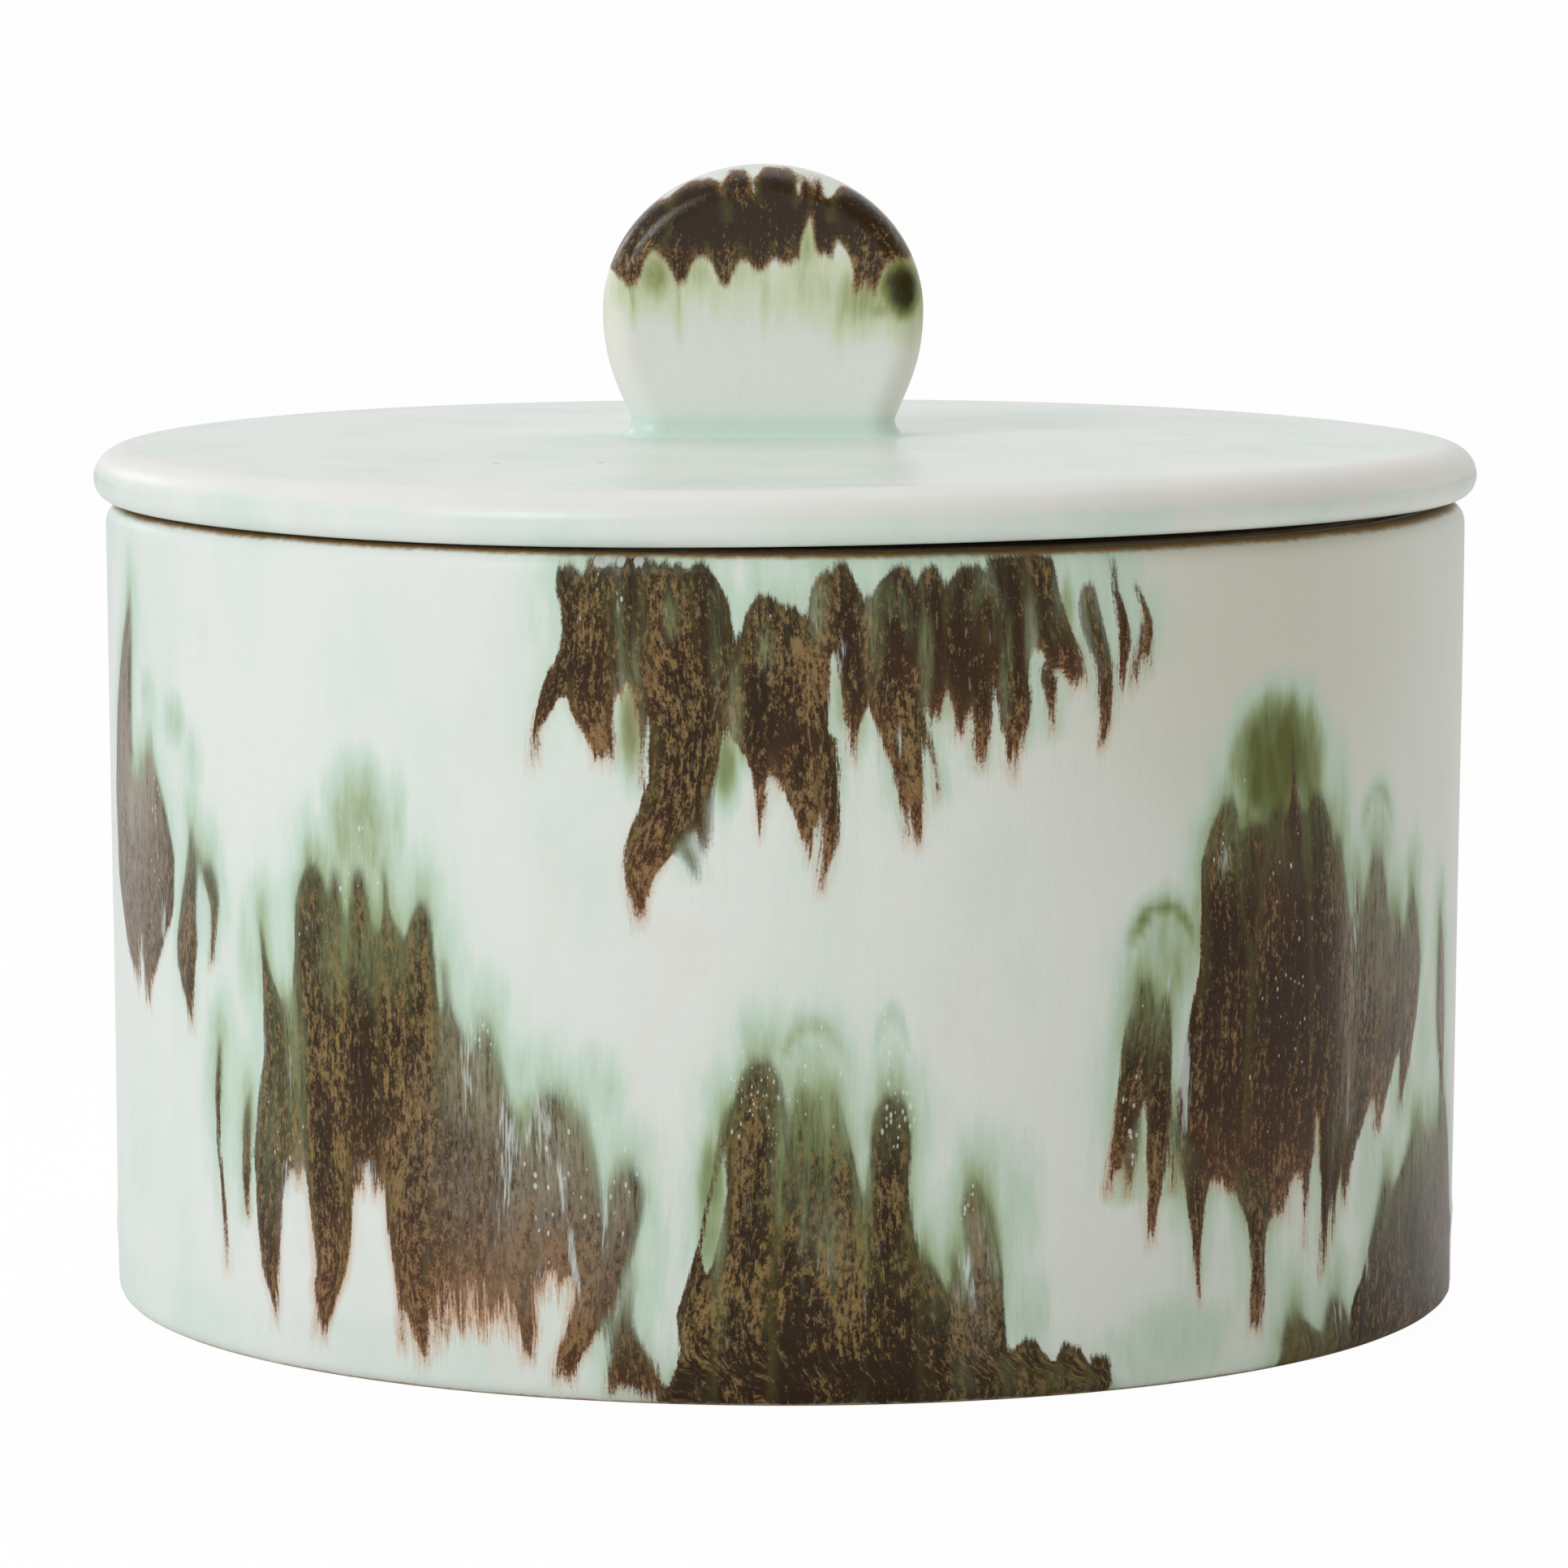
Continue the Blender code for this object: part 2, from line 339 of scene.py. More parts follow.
@dataclass
class GlazeMap:
    """Where the runs, the bare gaps between them and the blooms lie on one surface."""

    runs: Sequence[Run]
    gaps: Sequence[Run]
    blooms: Sequence[Bloom]
    scale: float
    turn: float

    FAR = -6.0
    JOIN = 0.4
    BLEND = 1.5

    def lay(self, piece: bpy.types.Object, across: np.ndarray, height: np.ndarray,
            shown: np.ndarray) -> Tuple[np.ndarray, np.ndarray]:
        """Writes the glaze onto a mesh as attributes.

        Args:
            piece: The object that is glazed.
            across: Place of each point across the surface.
            height: Height of each point in millimetres.
            shown: Share of the runs that each point takes, 0 where no run reaches.

        Returns:
            The depth inside the runs and the sideways drift of the flow at each point, in millimetres.
        """
        weights, broad, drift, glow, lobes, tones, ridge = np.zeros((7, len(height)))
        shares = {name: np.zeros(len(height)) for name in ("head", "tip", "fade")}
        for order, run in enumerate(self.runs):
            traced = run.trace(across, height, self.scale, self.turn)
            weight = np.exp(np.clip(traced["depth"], -8.0, 4.0) / self.JOIN)
            loose = np.exp(np.clip(traced["depth"], -8.0, 2.0) / self.BLEND)
            weights += weight
            broad += loose
            for name, share in shares.items():
                share += weight * traced[name]
            drift += loose * traced["drift"]
            glow += traced["glow"] ** 4
            lobes += traced["lobe"] ** 2
            tones += traced["lobe"] ** 2 * (order * TONE_STEP % 1.0)
            ridge = np.maximum(ridge, traced["lobe"])
        depth = self.JOIN * np.log(weights + TINY)
        for gap in self.gaps:
            depth = np.minimum(depth, -gap.trace(across, height, self.scale, self.turn)["depth"])
        depth = np.where(shown > 0.5, np.clip(depth, self.FAR, 6.0), self.FAR)
        drift = drift / (broad + 0.2)
        self.store(piece, "glaze_run", depth)
        for name, share in shares.items():
            self.store(piece, "glaze_" + name, share / (weights + TINY))
        self.store(piece, "glaze_tone", (tones + 0.02) / (lobes + 0.04))
        self.store(piece, "glaze_seam", smoothstep(0.0, 0.1, ridge) * (1.0 - smoothstep(0.1, 0.5, ridge)))
        for kind in BloomKind:
            amount = glow ** 0.25 if kind is BloomKind.HALO else np.zeros(len(height))
            for bloom in self.blooms:
                if bloom.kind is kind:
                    amount = np.maximum(amount, bloom.amount(across, height, self.scale, self.turn))
            self.store(piece, kind.value, amount * shown)
        return depth, drift

    @staticmethod
    def store(piece: bpy.types.Object, name: str, values: np.ndarray) -> None:
        """Keeps a value for each point of a mesh under a name."""
        layer = piece.data.attributes.new(name, "FLOAT", "POINT")
        layer.data.foreach_set("value", values.astype(np.float32))

    @staticmethod
    def store_place(piece: bpy.types.Object, places: np.ndarray) -> None:
        """Keeps for each point, in millimetres, where its glaze has flowed from."""
        layer = piece.data.attributes.new("glaze_place", "FLOAT_VECTOR", "POINT")
        layer.data.foreach_set("vector", places.astype(np.float32).ravel())


def runs(soft: float, glow: float, *stations: Sequence[Tuple[float, float, float]]) -> List[Run]:
    """Makes runs of the same softness and glow from their stations."""
    return [Run(tuple(each), soft, glow) for each in stations]


def blooms(kind: BloomKind, *rows: Sequence[float]) -> List[Bloom]:
    """Makes blooms of one kind, each from its values in the order of Bloom's fields."""
    return [Bloom(kind, *row) for row in rows]


# Under the rim, left of the middle to the right: crisp heads, one ragged curtain
RIM_CURTAIN = runs(
    0.12, 0.5,
    ((-10.8, 93.2, 11), (-10.9, 91.2, 16.4), (-10.9, 87, 17.4), (-10.8, 83, 17), (-10.4, 80, 9),
     (-9.4, 77, 6)),
    ((-0.4, 88.6, 4), (-0.2, 86, 8), (0, 82, 10), (0.4, 78, 10.6), (0.6, 74, 8.4), (1.2, 70, 5.4)),
    ((-3.9, 84.6, 0.5), (-3.9, 82, 2.4), (-3.8, 79, 3.2), (-3.7, 76.8, 1.4), (-3.8, 75.6, 0.3)),
    ((9.2, 91.6, 5), (9.3, 88, 8.6), (9.3, 84, 9.4), (9.2, 80.6, 8), (8.8, 79, 5)),
    ((6.4, 89.8, 0.6), (6.4, 86, 2), (6.5, 83, 1.6), (6.6, 81.2, 0.4)),
    ((15.8, 91.8, 7), (16, 88, 9.8), (16.1, 84, 10), (16.2, 81.4, 7)),
    ((-17.2, 93.6, 2), (-17.1, 91.5, 3.4), (-16.5, 88, 3.2), (-16.8, 83.5, 3.6), (-18.2, 80, 3.2),
     (-19.3, 77.4, 1.7), (-19.9, 75, 0.8), (-20, 72.2, 0.3)),
    ((-14.9, 94.4, 1.6), (-15, 91, 2.6), (-15, 86, 4.6), (-15.4, 81, 6), (-15.3, 77, 4.4), (-14.6, 74.5, 3),
     (-14.3, 72.9, 1.8)),
    ((-12.9, 93.8, 1), (-13, 91, 1.8), (-13.2, 86, 2.6), (-13, 81, 2.4), (-13.2, 79.5, 1)),
    ((-11.9, 94.4, 1.2), (-12, 91, 1.9), (-11.8, 86, 2.8), (-11.4, 81, 3), (-11.2, 77, 1), (-11.4, 73, 0.6),
     (-11.5, 70.2, 0.3)),
    ((-9.6, 93.4, 4), (-9.3, 91, 6.2), (-8.8, 86, 7.4), (-8.4, 81, 8), (-7.9, 76, 7.8), (-8.1, 70, 7),
     (-9.1, 66, 7.6), (-10.3, 63, 6.4), (-11.3, 60, 4.2), (-11.6, 57.5, 2.2), (-11.6, 54.4, 0.3)),
    ((-6.6, 94, 1.4), (-6.4, 92, 4), (-5.9, 89, 4.8), (-5.7, 85, 4.6), (-5.7, 80, 4.4), (-6.2, 75, 4),
     (-6.8, 70, 2.4), (-6.9, 66.5, 2), (-6.4, 63.6, 0.4)),
    ((-1.6, 90.6, 1.4), (-1.5, 88.5, 4.4), (-1.3, 85, 6.6), (-1.4, 80, 7.6), (-1.6, 76, 8), (-2.1, 73.4, 4),
     (-1.9, 71, 1.5), (-1.9, 67.5, 1.1), (-1.9, 64.2, 0.3)),
    ((0, 89.2, 1.6), (0.7, 87, 3.2), (1.1, 83, 4.6), (1, 78, 5.6), (1.2, 73, 5.2), (1.4, 69, 4.2),
     (1.6, 66, 2.8), (1.9, 62, 0.4)),
    ((2.6, 79, 3), (3, 75, 2.6), (3.3, 70, 2.2), (3.5, 66, 2), (3.5, 63.5, 1.8), (3.2, 61, 1.2),
     (2.8, 58.6, 0.3)),
    ((3, 93.4, 1), (2.8, 91, 2.4), (2.9, 87, 3.2), (2.8, 82, 4), (2.6, 78, 3.4)),
    ((4.3, 94, 1.2), (4.6, 91, 3.6), (4.9, 87, 4.6), (5.2, 83, 4), (5.6, 79, 2.6), (5.2, 76, 1.1),
     (5.1, 73, 0.3)),
    ((9, 93.6, 1.6), (8.5, 91, 4.4), (8.2, 87, 5.4), (8, 82, 6), (8.2, 78, 4.6), (8.8, 75, 3),
     (8.4, 73.8, 1.2)),
    ((9.4, 82, 4.4), (9.6, 77, 3.6), (9.9, 72, 2.7), (10.3, 67.5, 2.1), (10.4, 64.2, 0.4)),
    ((8.3, 76, 1.3), (8.6, 72, 0.8), (9.1, 68, 0.7), (9.7, 64.4, 0.2)),
    ((11, 76, 0.9), (11.5, 72.5, 0.6), (12, 68.5, 0.2)),
    ((11.4, 93.8, 1.4), (11.5, 91.5, 2.6), (11.6, 87, 3.4), (11.6, 82.5, 4.6), (11.7, 80, 2.4),
     (11.8, 77.6, 0.4)),
    ((14.5, 93.6, 2), (14.5, 91.5, 4.6), (14.2, 88, 5.6), (13.9, 84, 6.2), (14, 80.5, 4.2),
     (13.9, 77.5, 1.2), (13.9, 75.7, 0.3)),
    ((15.2, 84, 3.4), (15.5, 79, 2.6), (15.6, 75, 1.5), (15.4, 71.6, 0.4)),
    ((17.4, 94.5, 3.8), (17.6, 91, 4.2), (17.9, 86, 4.6), (18, 81, 4), (18.2, 77, 3.2), (18, 74, 1.4),
     (18, 70.6, 0.3)),
    ((18.9, 79, 2), (18.9, 76, 1.4), (18.8, 73.4, 0.3)),
    ((20.2, 94.5, 3.6), (20.4, 91, 4), (21, 87, 4.6), (22, 84, 5.2), (22.9, 82, 4.2), (23.7, 80.6, 1.6)),
    ((21, 82, 2.4), (21.3, 79, 1.2), (21.4, 75.3, 0.3)),
    ((24.5, 91.4, 1.4), (24.5, 89, 2.6), (25, 86, 2.8), (25.8, 83, 2.2), (26, 80, 1.7), (26.1, 76.5, 1.1),
     (25.9, 73.8, 0.3)),
    ((26.6, 93.8, 0.7), (26.8, 90, 0.8), (27.5, 87.5, 1.4), (27.9, 84.8, 1.7), (27.7, 82, 0.8),
     (27.6, 80, 0.3)),
    ((28.6, 91, 0.4), (29.3, 89, 0.7), (30, 86.5, 0.9), (30, 84, 0.9), (29.9, 82, 0.3)),
    ((29.7, 85.6, 0.8), (29, 82.6, 0.8), (28.6, 80.4, 0.3)),
)

# Pale rust-coloured smears at the curtain's ends
RIM_SMEARS = runs(
    1, 0.3,
    ((-8.8, 64.5, 3.2), (-7.9, 62.2, 2.4), (-7.2, 60.6, 1.2), (-7, 59.2, 0.3)),
    ((-6.2, 68, 0.8), (-6.1, 65.5, 0.8), (-6.2, 63.2, 0.2)),
)

# Round the left edge of the view
LEFT_EDGE = runs(
    0.6, 0.7,
    ((-69, 66, 6), (-69, 60, 16), (-69, 52, 16), (-69, 46, 9)),
    ((-70.3, 85.8, 0.6), (-71.6, 80, 4.5), (-73.2, 72, 8), (-74, 62, 10.5), (-73.6, 52, 10),
     (-71.5, 44.5, 6), (-70.2, 41, 1.4)),
    ((-66, 68.8, 1.4), (-65.6, 63, 8), (-64.8, 57, 11.5), (-64.8, 50, 10.5), (-66.4, 44.5, 6),
     (-67.3, 39.6, 1.2)),
    ((-57.7, 60.6, 0.8), (-57.5, 57, 2.6), (-58.2, 52, 3.6), (-58.7, 47, 5.4), (-58.8, 43.5, 4.2),
     (-58.3, 40, 1.7), (-58.1, 37.6, 0.4)),
    ((-55.4, 57, 2.6), (-54.6, 54.6, 3.2), (-53.9, 51.6, 1.7), (-54.2, 49, 0.9), (-54.6, 46.2, 0.3)),
)

# The big fall on the left, from mid height to the foot
LEFT_FALL = runs(
    0.5, 0.85,
    ((-36.4, 51.6, 10), (-36.5, 49.6, 16), (-36.3, 46, 19.6), (-36.1, 42, 21.2), (-36, 36, 21.6),
     (-36, 29, 21.6), (-36, 25.6, 20.2), (-36, 23.4, 14)),
    ((-41.2, 58.8, 1.2), (-41.3, 56.5, 4), (-41.4, 53, 5.4), (-41.3, 48, 6.2), (-41.3, 42, 6.4),
     (-41.2, 36, 6.6), (-40.6, 30, 7.6), (-40, 25, 8), (-39.8, 20, 6.8), (-39.7, 16, 5.8), (-39.8, 12, 4.4),
     (-40.7, 8.4, 3.7), (-41.3, 5.2, 1.8)),
    ((-38.8, 58, 0.8), (-38.8, 55, 1.7), (-38.8, 50, 2.8), (-38.6, 44, 3.6), (-38.4, 36, 4.2),
     (-38.6, 28, 4.6), (-38.9, 24, 2.6)),
    ((-36.3, 58.6, 1.2), (-36.3, 56.4, 2.2), (-36.3, 52, 3.4), (-36.2, 46, 4.6), (-36, 38, 6.2),
     (-36, 30, 7), (-36, 25, 5.6), (-36, 22.8, 2.4)),
    ((-33.7, 58.4, 0.5), (-33.6, 54, 0.9), (-33.2, 50, 3), (-33, 44, 4.6), (-32.8, 36, 6), (-32.6, 28, 7),
     (-33, 24, 3.6)),
    ((-30.1, 55.6, 0.8), (-30.3, 53.2, 3), (-30.6, 49, 4.4), (-30.6, 42, 5.6), (-30.6, 34, 7),
     (-30.9, 27, 8.4), (-31.4, 21, 7.6), (-31.6, 16, 5.6), (-31.2, 11, 3.9), (-30.7, 6.8, 2.1),
     (-30.5, 3.9, 0.9)),
    ((-47.6, 51.4, 0.5), (-47.1, 46, 1.1), (-46.2, 42, 3.2), (-45.8, 36, 4.6), (-46.2, 30, 6.2),
     (-46.5, 25, 6.6), (-47.1, 20, 4.8), (-47.2, 15, 4), (-46.9, 10.5, 2.8), (-46.5, 7.6, 1.2),
     (-46.4, 5.3, 0.4)),
    ((-44.2, 42, 2.4), (-44, 34, 3.6), (-43.8, 27, 4.4), (-44, 22.6, 2.2)),
    ((-49.5, 31, 0.7), (-49.9, 27, 1.5), (-50.1, 22, 1.2), (-50.2, 17.2, 0.3)),
    ((-53.4, 37, 0.7), (-53.9, 31, 1.3), (-54, 25, 0.9), (-53.2, 16, 0.6), (-52.8, 10.5, 0.2)),
)

# Milky greyer runs to the right of the big fall
SMOKE_FALL = runs(
    0.7, 0.7,
    ((-25.6, 40.4, 3), (-25.8, 37, 7.6), (-25.8, 32, 10.8), (-25.8, 26, 12.2), (-25.8, 19, 12.2),
     (-25.8, 15.6, 9), (-25.8, 14, 5)),
    ((-28.2, 48.4, 0.5), (-27.9, 44, 1.2), (-27.5, 40, 3.4), (-27.2, 34, 5.6), (-27.2, 27, 7.2),
     (-27.3, 20, 8), (-27.6, 15.5, 6.4), (-27.8, 12.6, 3)),
    ((-24.5, 42.4, 1.4), (-24.3, 39, 3), (-24, 33, 3.6), (-23.9, 26, 4.6), (-24.2, 19, 5.6),
     (-24.4, 14.5, 4), (-24.4, 12, 1.6)),
    ((-21.2, 32, 1.6), (-21.5, 27, 2.8), (-21.8, 22, 4), (-21.9, 18, 4.4), (-21.7, 14, 3.7),
     (-21.3, 10.5, 2.5), (-20.9, 7, 1.9), (-20.9, 5, 1.3)),
    ((-18.9, 35.4, 2.2), (-18.8, 33, 5.2), (-18.5, 29, 7.4), (-18.3, 24, 8.6), (-18.4, 19, 8.8),
     (-18.8, 15, 5.8), (-19.4, 13, 2)),
    ((-16.6, 33, 1.4), (-16.2, 28, 2.8), (-15.9, 22, 3.6), (-15.5, 16, 4), (-15.6, 11.5, 4.2),
     (-16.4, 8, 3.6), (-17.4, 5.2, 3.2), (-18, 3, 2)),
    ((-12.7, 27.2, 2), (-12.7, 24.5, 4.4), (-12.9, 20.5, 4.2), (-13.6, 16.5, 3.6), (-14.3, 13, 3.2),
     (-15, 9.6, 2.6)),
    ((-12.4, 14.5, 0.7), (-12.6, 11.5, 1.2), (-13, 9, 2.4), (-12.7, 6.8, 3.8), (-12.3, 4.2, 5.2),
     (-12.2, 1.5, 6.2)),
    ((-14.6, 10, 0.8), (-14.4, 8.6, 0.7), (-13.9, 8, 0.4)),
)

# The pool in the middle, which spreads out over the foot
CENTRE_POOL = runs(
    0.5, 0.85,
    ((0.6, 29.6, 6), (0.5, 27, 11.6), (0.5, 22, 13.6), (0.4, 17, 15.4), (0.2, 12, 18), (0, 6, 21),
     (0, -9, 22)),
    ((7.6, 22, 6), (7.8, 17, 8), (8.2, 11, 10), (8.6, 5, 12), (8.8, -9, 12)),
    ((2.6, 7.2, 24), (5, 5.2, 36), (7.6, 3.4, 46), (8.8, 1.8, 51), (8.8, -9, 52)),
    ((-4.6, 33, 0.5), (-5.5, 27, 0.7), (-6.4, 21, 0.6), (-6.9, 17.5, 0.7), (-7, 14.5, 2), (-7, 11, 4.4),
     (-7.3, 8, 5.6), (-7.7, 5, 7), (-8, -9, 7.6)),
    ((-1.9, 39.2, 1.8), (-2, 37, 4.6), (-2.1, 33, 6.3), (-2.3, 29.5, 6.6), (-2.3, 25, 6.4), (-2.7, 20, 6.2),
     (-3.4, 14, 8), (-4.4, 8, 10), (-5, -9, 11)),
    ((1.2, 35.8, 0.7), (1.3, 32, 2.2), (1.5, 28, 3.4), (1.4, 22, 4.6), (1, 15, 6.4), (1, -9, 8)),
    ((2.4, 34.8, 0.9), (2.5, 31, 2.2), (2.6, 26, 3.4), (2.7, 18, 5), (2.7, -9, 6)),
    ((3.8, 35.6, 0.8), (3.9, 32, 2.4), (4.2, 28, 3.8), (4.6, 22, 4.8), (5, 15, 6), (5, -9, 7)),
    ((8.5, 35.3, 1.6), (8.4, 33, 4.2), (8.3, 29, 5), (8.1, 25, 4.8), (8, 20, 5.6), (8, 15, 7.4),
     (8.4, 8, 9), (8.6, -9, 10)),
    ((11.3, 16.6, 0.6), (11.7, 14, 2.6), (12.2, 10, 4.6), (12.5, 6, 6), (12.6, -9, 7)),
    ((13.5, 17.2, 0.5), (13.6, 13, 1.6), (13.8, 9, 2.6), (13.8, -9, 3)),
    ((15.1, 25, 1.6), (15, 22.6, 3), (15.3, 19, 3), (15.7, 15, 3.2), (15.8, 10.5, 4.2), (15.8, 6, 6),
     (15.6, -9, 8)),
    ((16.1, 22.5, 0.5), (16.9, 18.5, 0.5), (17.4, 14, 0.6), (17.4, 9.5, 0.8), (17.3, -9, 1.6)),
)

# The dark fall on the right
RIGHT_FALL = runs(
    0.45, 0.9,
    ((43.4, 63.4, 8), (43.6, 60.5, 15), (44, 56, 20), (44.3, 50, 22.4), (44, 44, 24), (43.4, 38, 25.6),
     (42.8, 32, 26.6), (42.6, 27, 25), (42.4, 24.4, 18), (42.4, 22.4, 12)),
    ((38.2, 66, 1.6), (37.7, 63, 4.6), (37.3, 59, 5.8), (37.6, 55, 6), (38.2, 48, 8), (38, 40, 11),
     (37.6, 32, 12), (37.6, 27, 10), (37, 23, 6.5)),
    ((43.4, 64.2, 1), (43.4, 61, 3.4), (43.4, 56, 5.4), (43.2, 48, 7.4), (43, 38, 9), (42.8, 28, 9),
     (42.6, 21, 7.6), (43.6, 18.6, 4.4)),
    ((45.3, 71.6, 0.4), (45.5, 66.5, 0.8), (45.5, 62, 3.2), (45.6, 56, 5.2), (45.8, 46, 7.6),
     (45.8, 36, 8.6), (45.6, 28, 8.6), (45.2, 22.5, 5)),
    ((48.3, 65.8, 1.6), (48.5, 62.5, 4.6), (49, 58, 5.4), (49.4, 52, 6), (49.8, 45, 7), (49.8, 37, 7.4),
     (49.2, 30, 7), (48.6, 25, 4.4)),
    ((29.9, 46.5, 1.8), (29.8, 43, 3.6), (29.4, 39, 4.4), (28.9, 34.5, 4), (28.3, 31, 3), (27.4, 27, 1.5),
     (26.8, 23.4, 0.4)),
    ((28.9, 30, 1.8), (28.7, 26, 1.3), (28.6, 22.6, 0.3)),
    ((31.9, 44.6, 1.2), (31.7, 40, 2.6), (31.4, 35, 3.2), (31.4, 30, 3.2), (31.2, 26, 2.8), (31, 22, 1.5),
     (30.6, 17.4, 0.3)),
    ((33, 30, 0.9), (32.8, 26, 0.9), (32.6, 22.4, 0.3)),
    ((35.6, 30, 5), (35.2, 25, 4.6), (35.1, 20.5, 2.6), (35.2, 17.5, 1.3), (35.3, 13.5, 0.8),
     (35.4, 10.4, 0.3)),
    ((41.2, 26, 8), (41.6, 21.5, 6.4), (41.8, 18, 3.6), (41.8, 15, 2.4), (41.8, 11, 2.2), (41.7, 8, 2.4),
     (41.7, 5.8, 1.4)),
    ((50.8, 32, 4.4), (50.5, 26, 3.4), (50.4, 20, 2), (50.2, 15.5, 1.1), (50, 10.6, 0.3)),
    ((51.4, 60, 0.8), (51.7, 55, 2.6), (52.3, 48, 4.2), (52.6, 40, 5), (52.2, 32, 4.4), (51.6, 27, 2.4)),
    ((54.2, 55, 0.8), (54.3, 50, 2.4), (54.6, 42, 3.4), (54.2, 34, 3.6), (53.4, 28, 2)),
    ((52.8, 34, 3.6), (52.4, 26, 1.9), (51.6, 19, 0.9), (51.2, 13.4, 0.2)),
)

# Short tips and low pools with little green round them
BARE_TIPS = runs(
    0.08, 0.12,
    ((-32.4, 16, 1.4), (-32.5, 10, 0.7), (-32.6, 5.4, 0.2)),
    ((-29.7, 18, 1.4), (-29.4, 11, 0.8), (-29.1, 5.6, 0.2)),
    ((-28.6, 16, 1.8), (-28.7, 11, 0.8), (-28.6, 7.4, 0.2)),
    ((-27.5, 16, 1.4), (-27.5, 12, 0.6), (-27.4, 9.4, 0.2)),
    ((-26.5, 16, 1.4), (-26.6, 12, 0.7), (-26.5, 8.6, 0.2)),
    ((-25.2, 16, 1.4), (-25.1, 11, 0.6), (-25.1, 7.8, 0.2)),
    ((-24.2, 16, 1.4), (-24.2, 12, 0.6), (-24.2, 10, 0.2)),
    ((-23.3, 17, 1.6), (-23.2, 12, 0.8), (-23.1, 8.8, 0.2)),
    ((19.6, 7, 1.2), (19.6, 4.6, 6), (19.8, -9, 8)),
    ((23.4, 6, 1.6), (23.4, 3.4, 5), (23.6, -9, 7)),
    ((26, 4.6, 2), (26.1, 2.9, 3), (26.2, -9, 3)),
    ((47.6, 27, 1.9), (47.6, 20, 1), (47.6, 14, 0.2)),
)

# Greyer runs that turn out of sight on the right, down to the foot
RIGHT_EDGE = runs(
    0.7, 0.8,
    ((59.4, 50.5, 5), (59.6, 46, 11), (59.4, 40, 13), (58.6, 34, 10), (57, 29, 4)),
    ((69, 24, 9), (69, 18, 21), (68.6, 12, 30), (68, 6, 36), (67, -9, 42)),
    ((57.4, 58.4, 1.8), (57.4, 54, 5), (57.2, 47, 8.6), (56.8, 40, 9), (56, 33, 7), (54.4, 27, 4.4),
     (53.2, 22, 2), (52.8, 18, 0.5)),
    ((64.3, 53.6, 0.7), (64.3, 50, 3.6), (64.6, 44, 6.2), (64.2, 38, 5.6), (63.6, 33, 3.4), (62.6, 28, 0.9)),
    ((61, 50, 1.4), (60.8, 44, 4.4), (60.4, 37, 5.4), (59.6, 31, 3.4), (58.4, 26, 1)),
    ((60.2, 20, 1.6), (60, 16, 4.6), (59.4, 11, 7.4), (58.4, 6, 11), (57.6, -9, 14)),
    ((66.5, 25, 2.2), (66.5, 20, 6.4), (66, 13, 9), (66, -9, 12)),
    ((74.5, 27, 2.4), (75, 21, 8), (75.5, 12, 12), (76, -9, 16)),
    ((46.2, 6.8, 1.8), (46.4, 4.8, 4.6), (47.5, 3.2, 8), (49, -9, 14)),
    ((51.6, 7.6, 1.6), (52, 4.8, 5), (53, -9, 9)),
    ((72.4, 48.6, 1), (72.9, 44, 3.6), (73.4, 36, 4.6), (74, 30, 2.8), (74.4, 25, 0.6)),
)

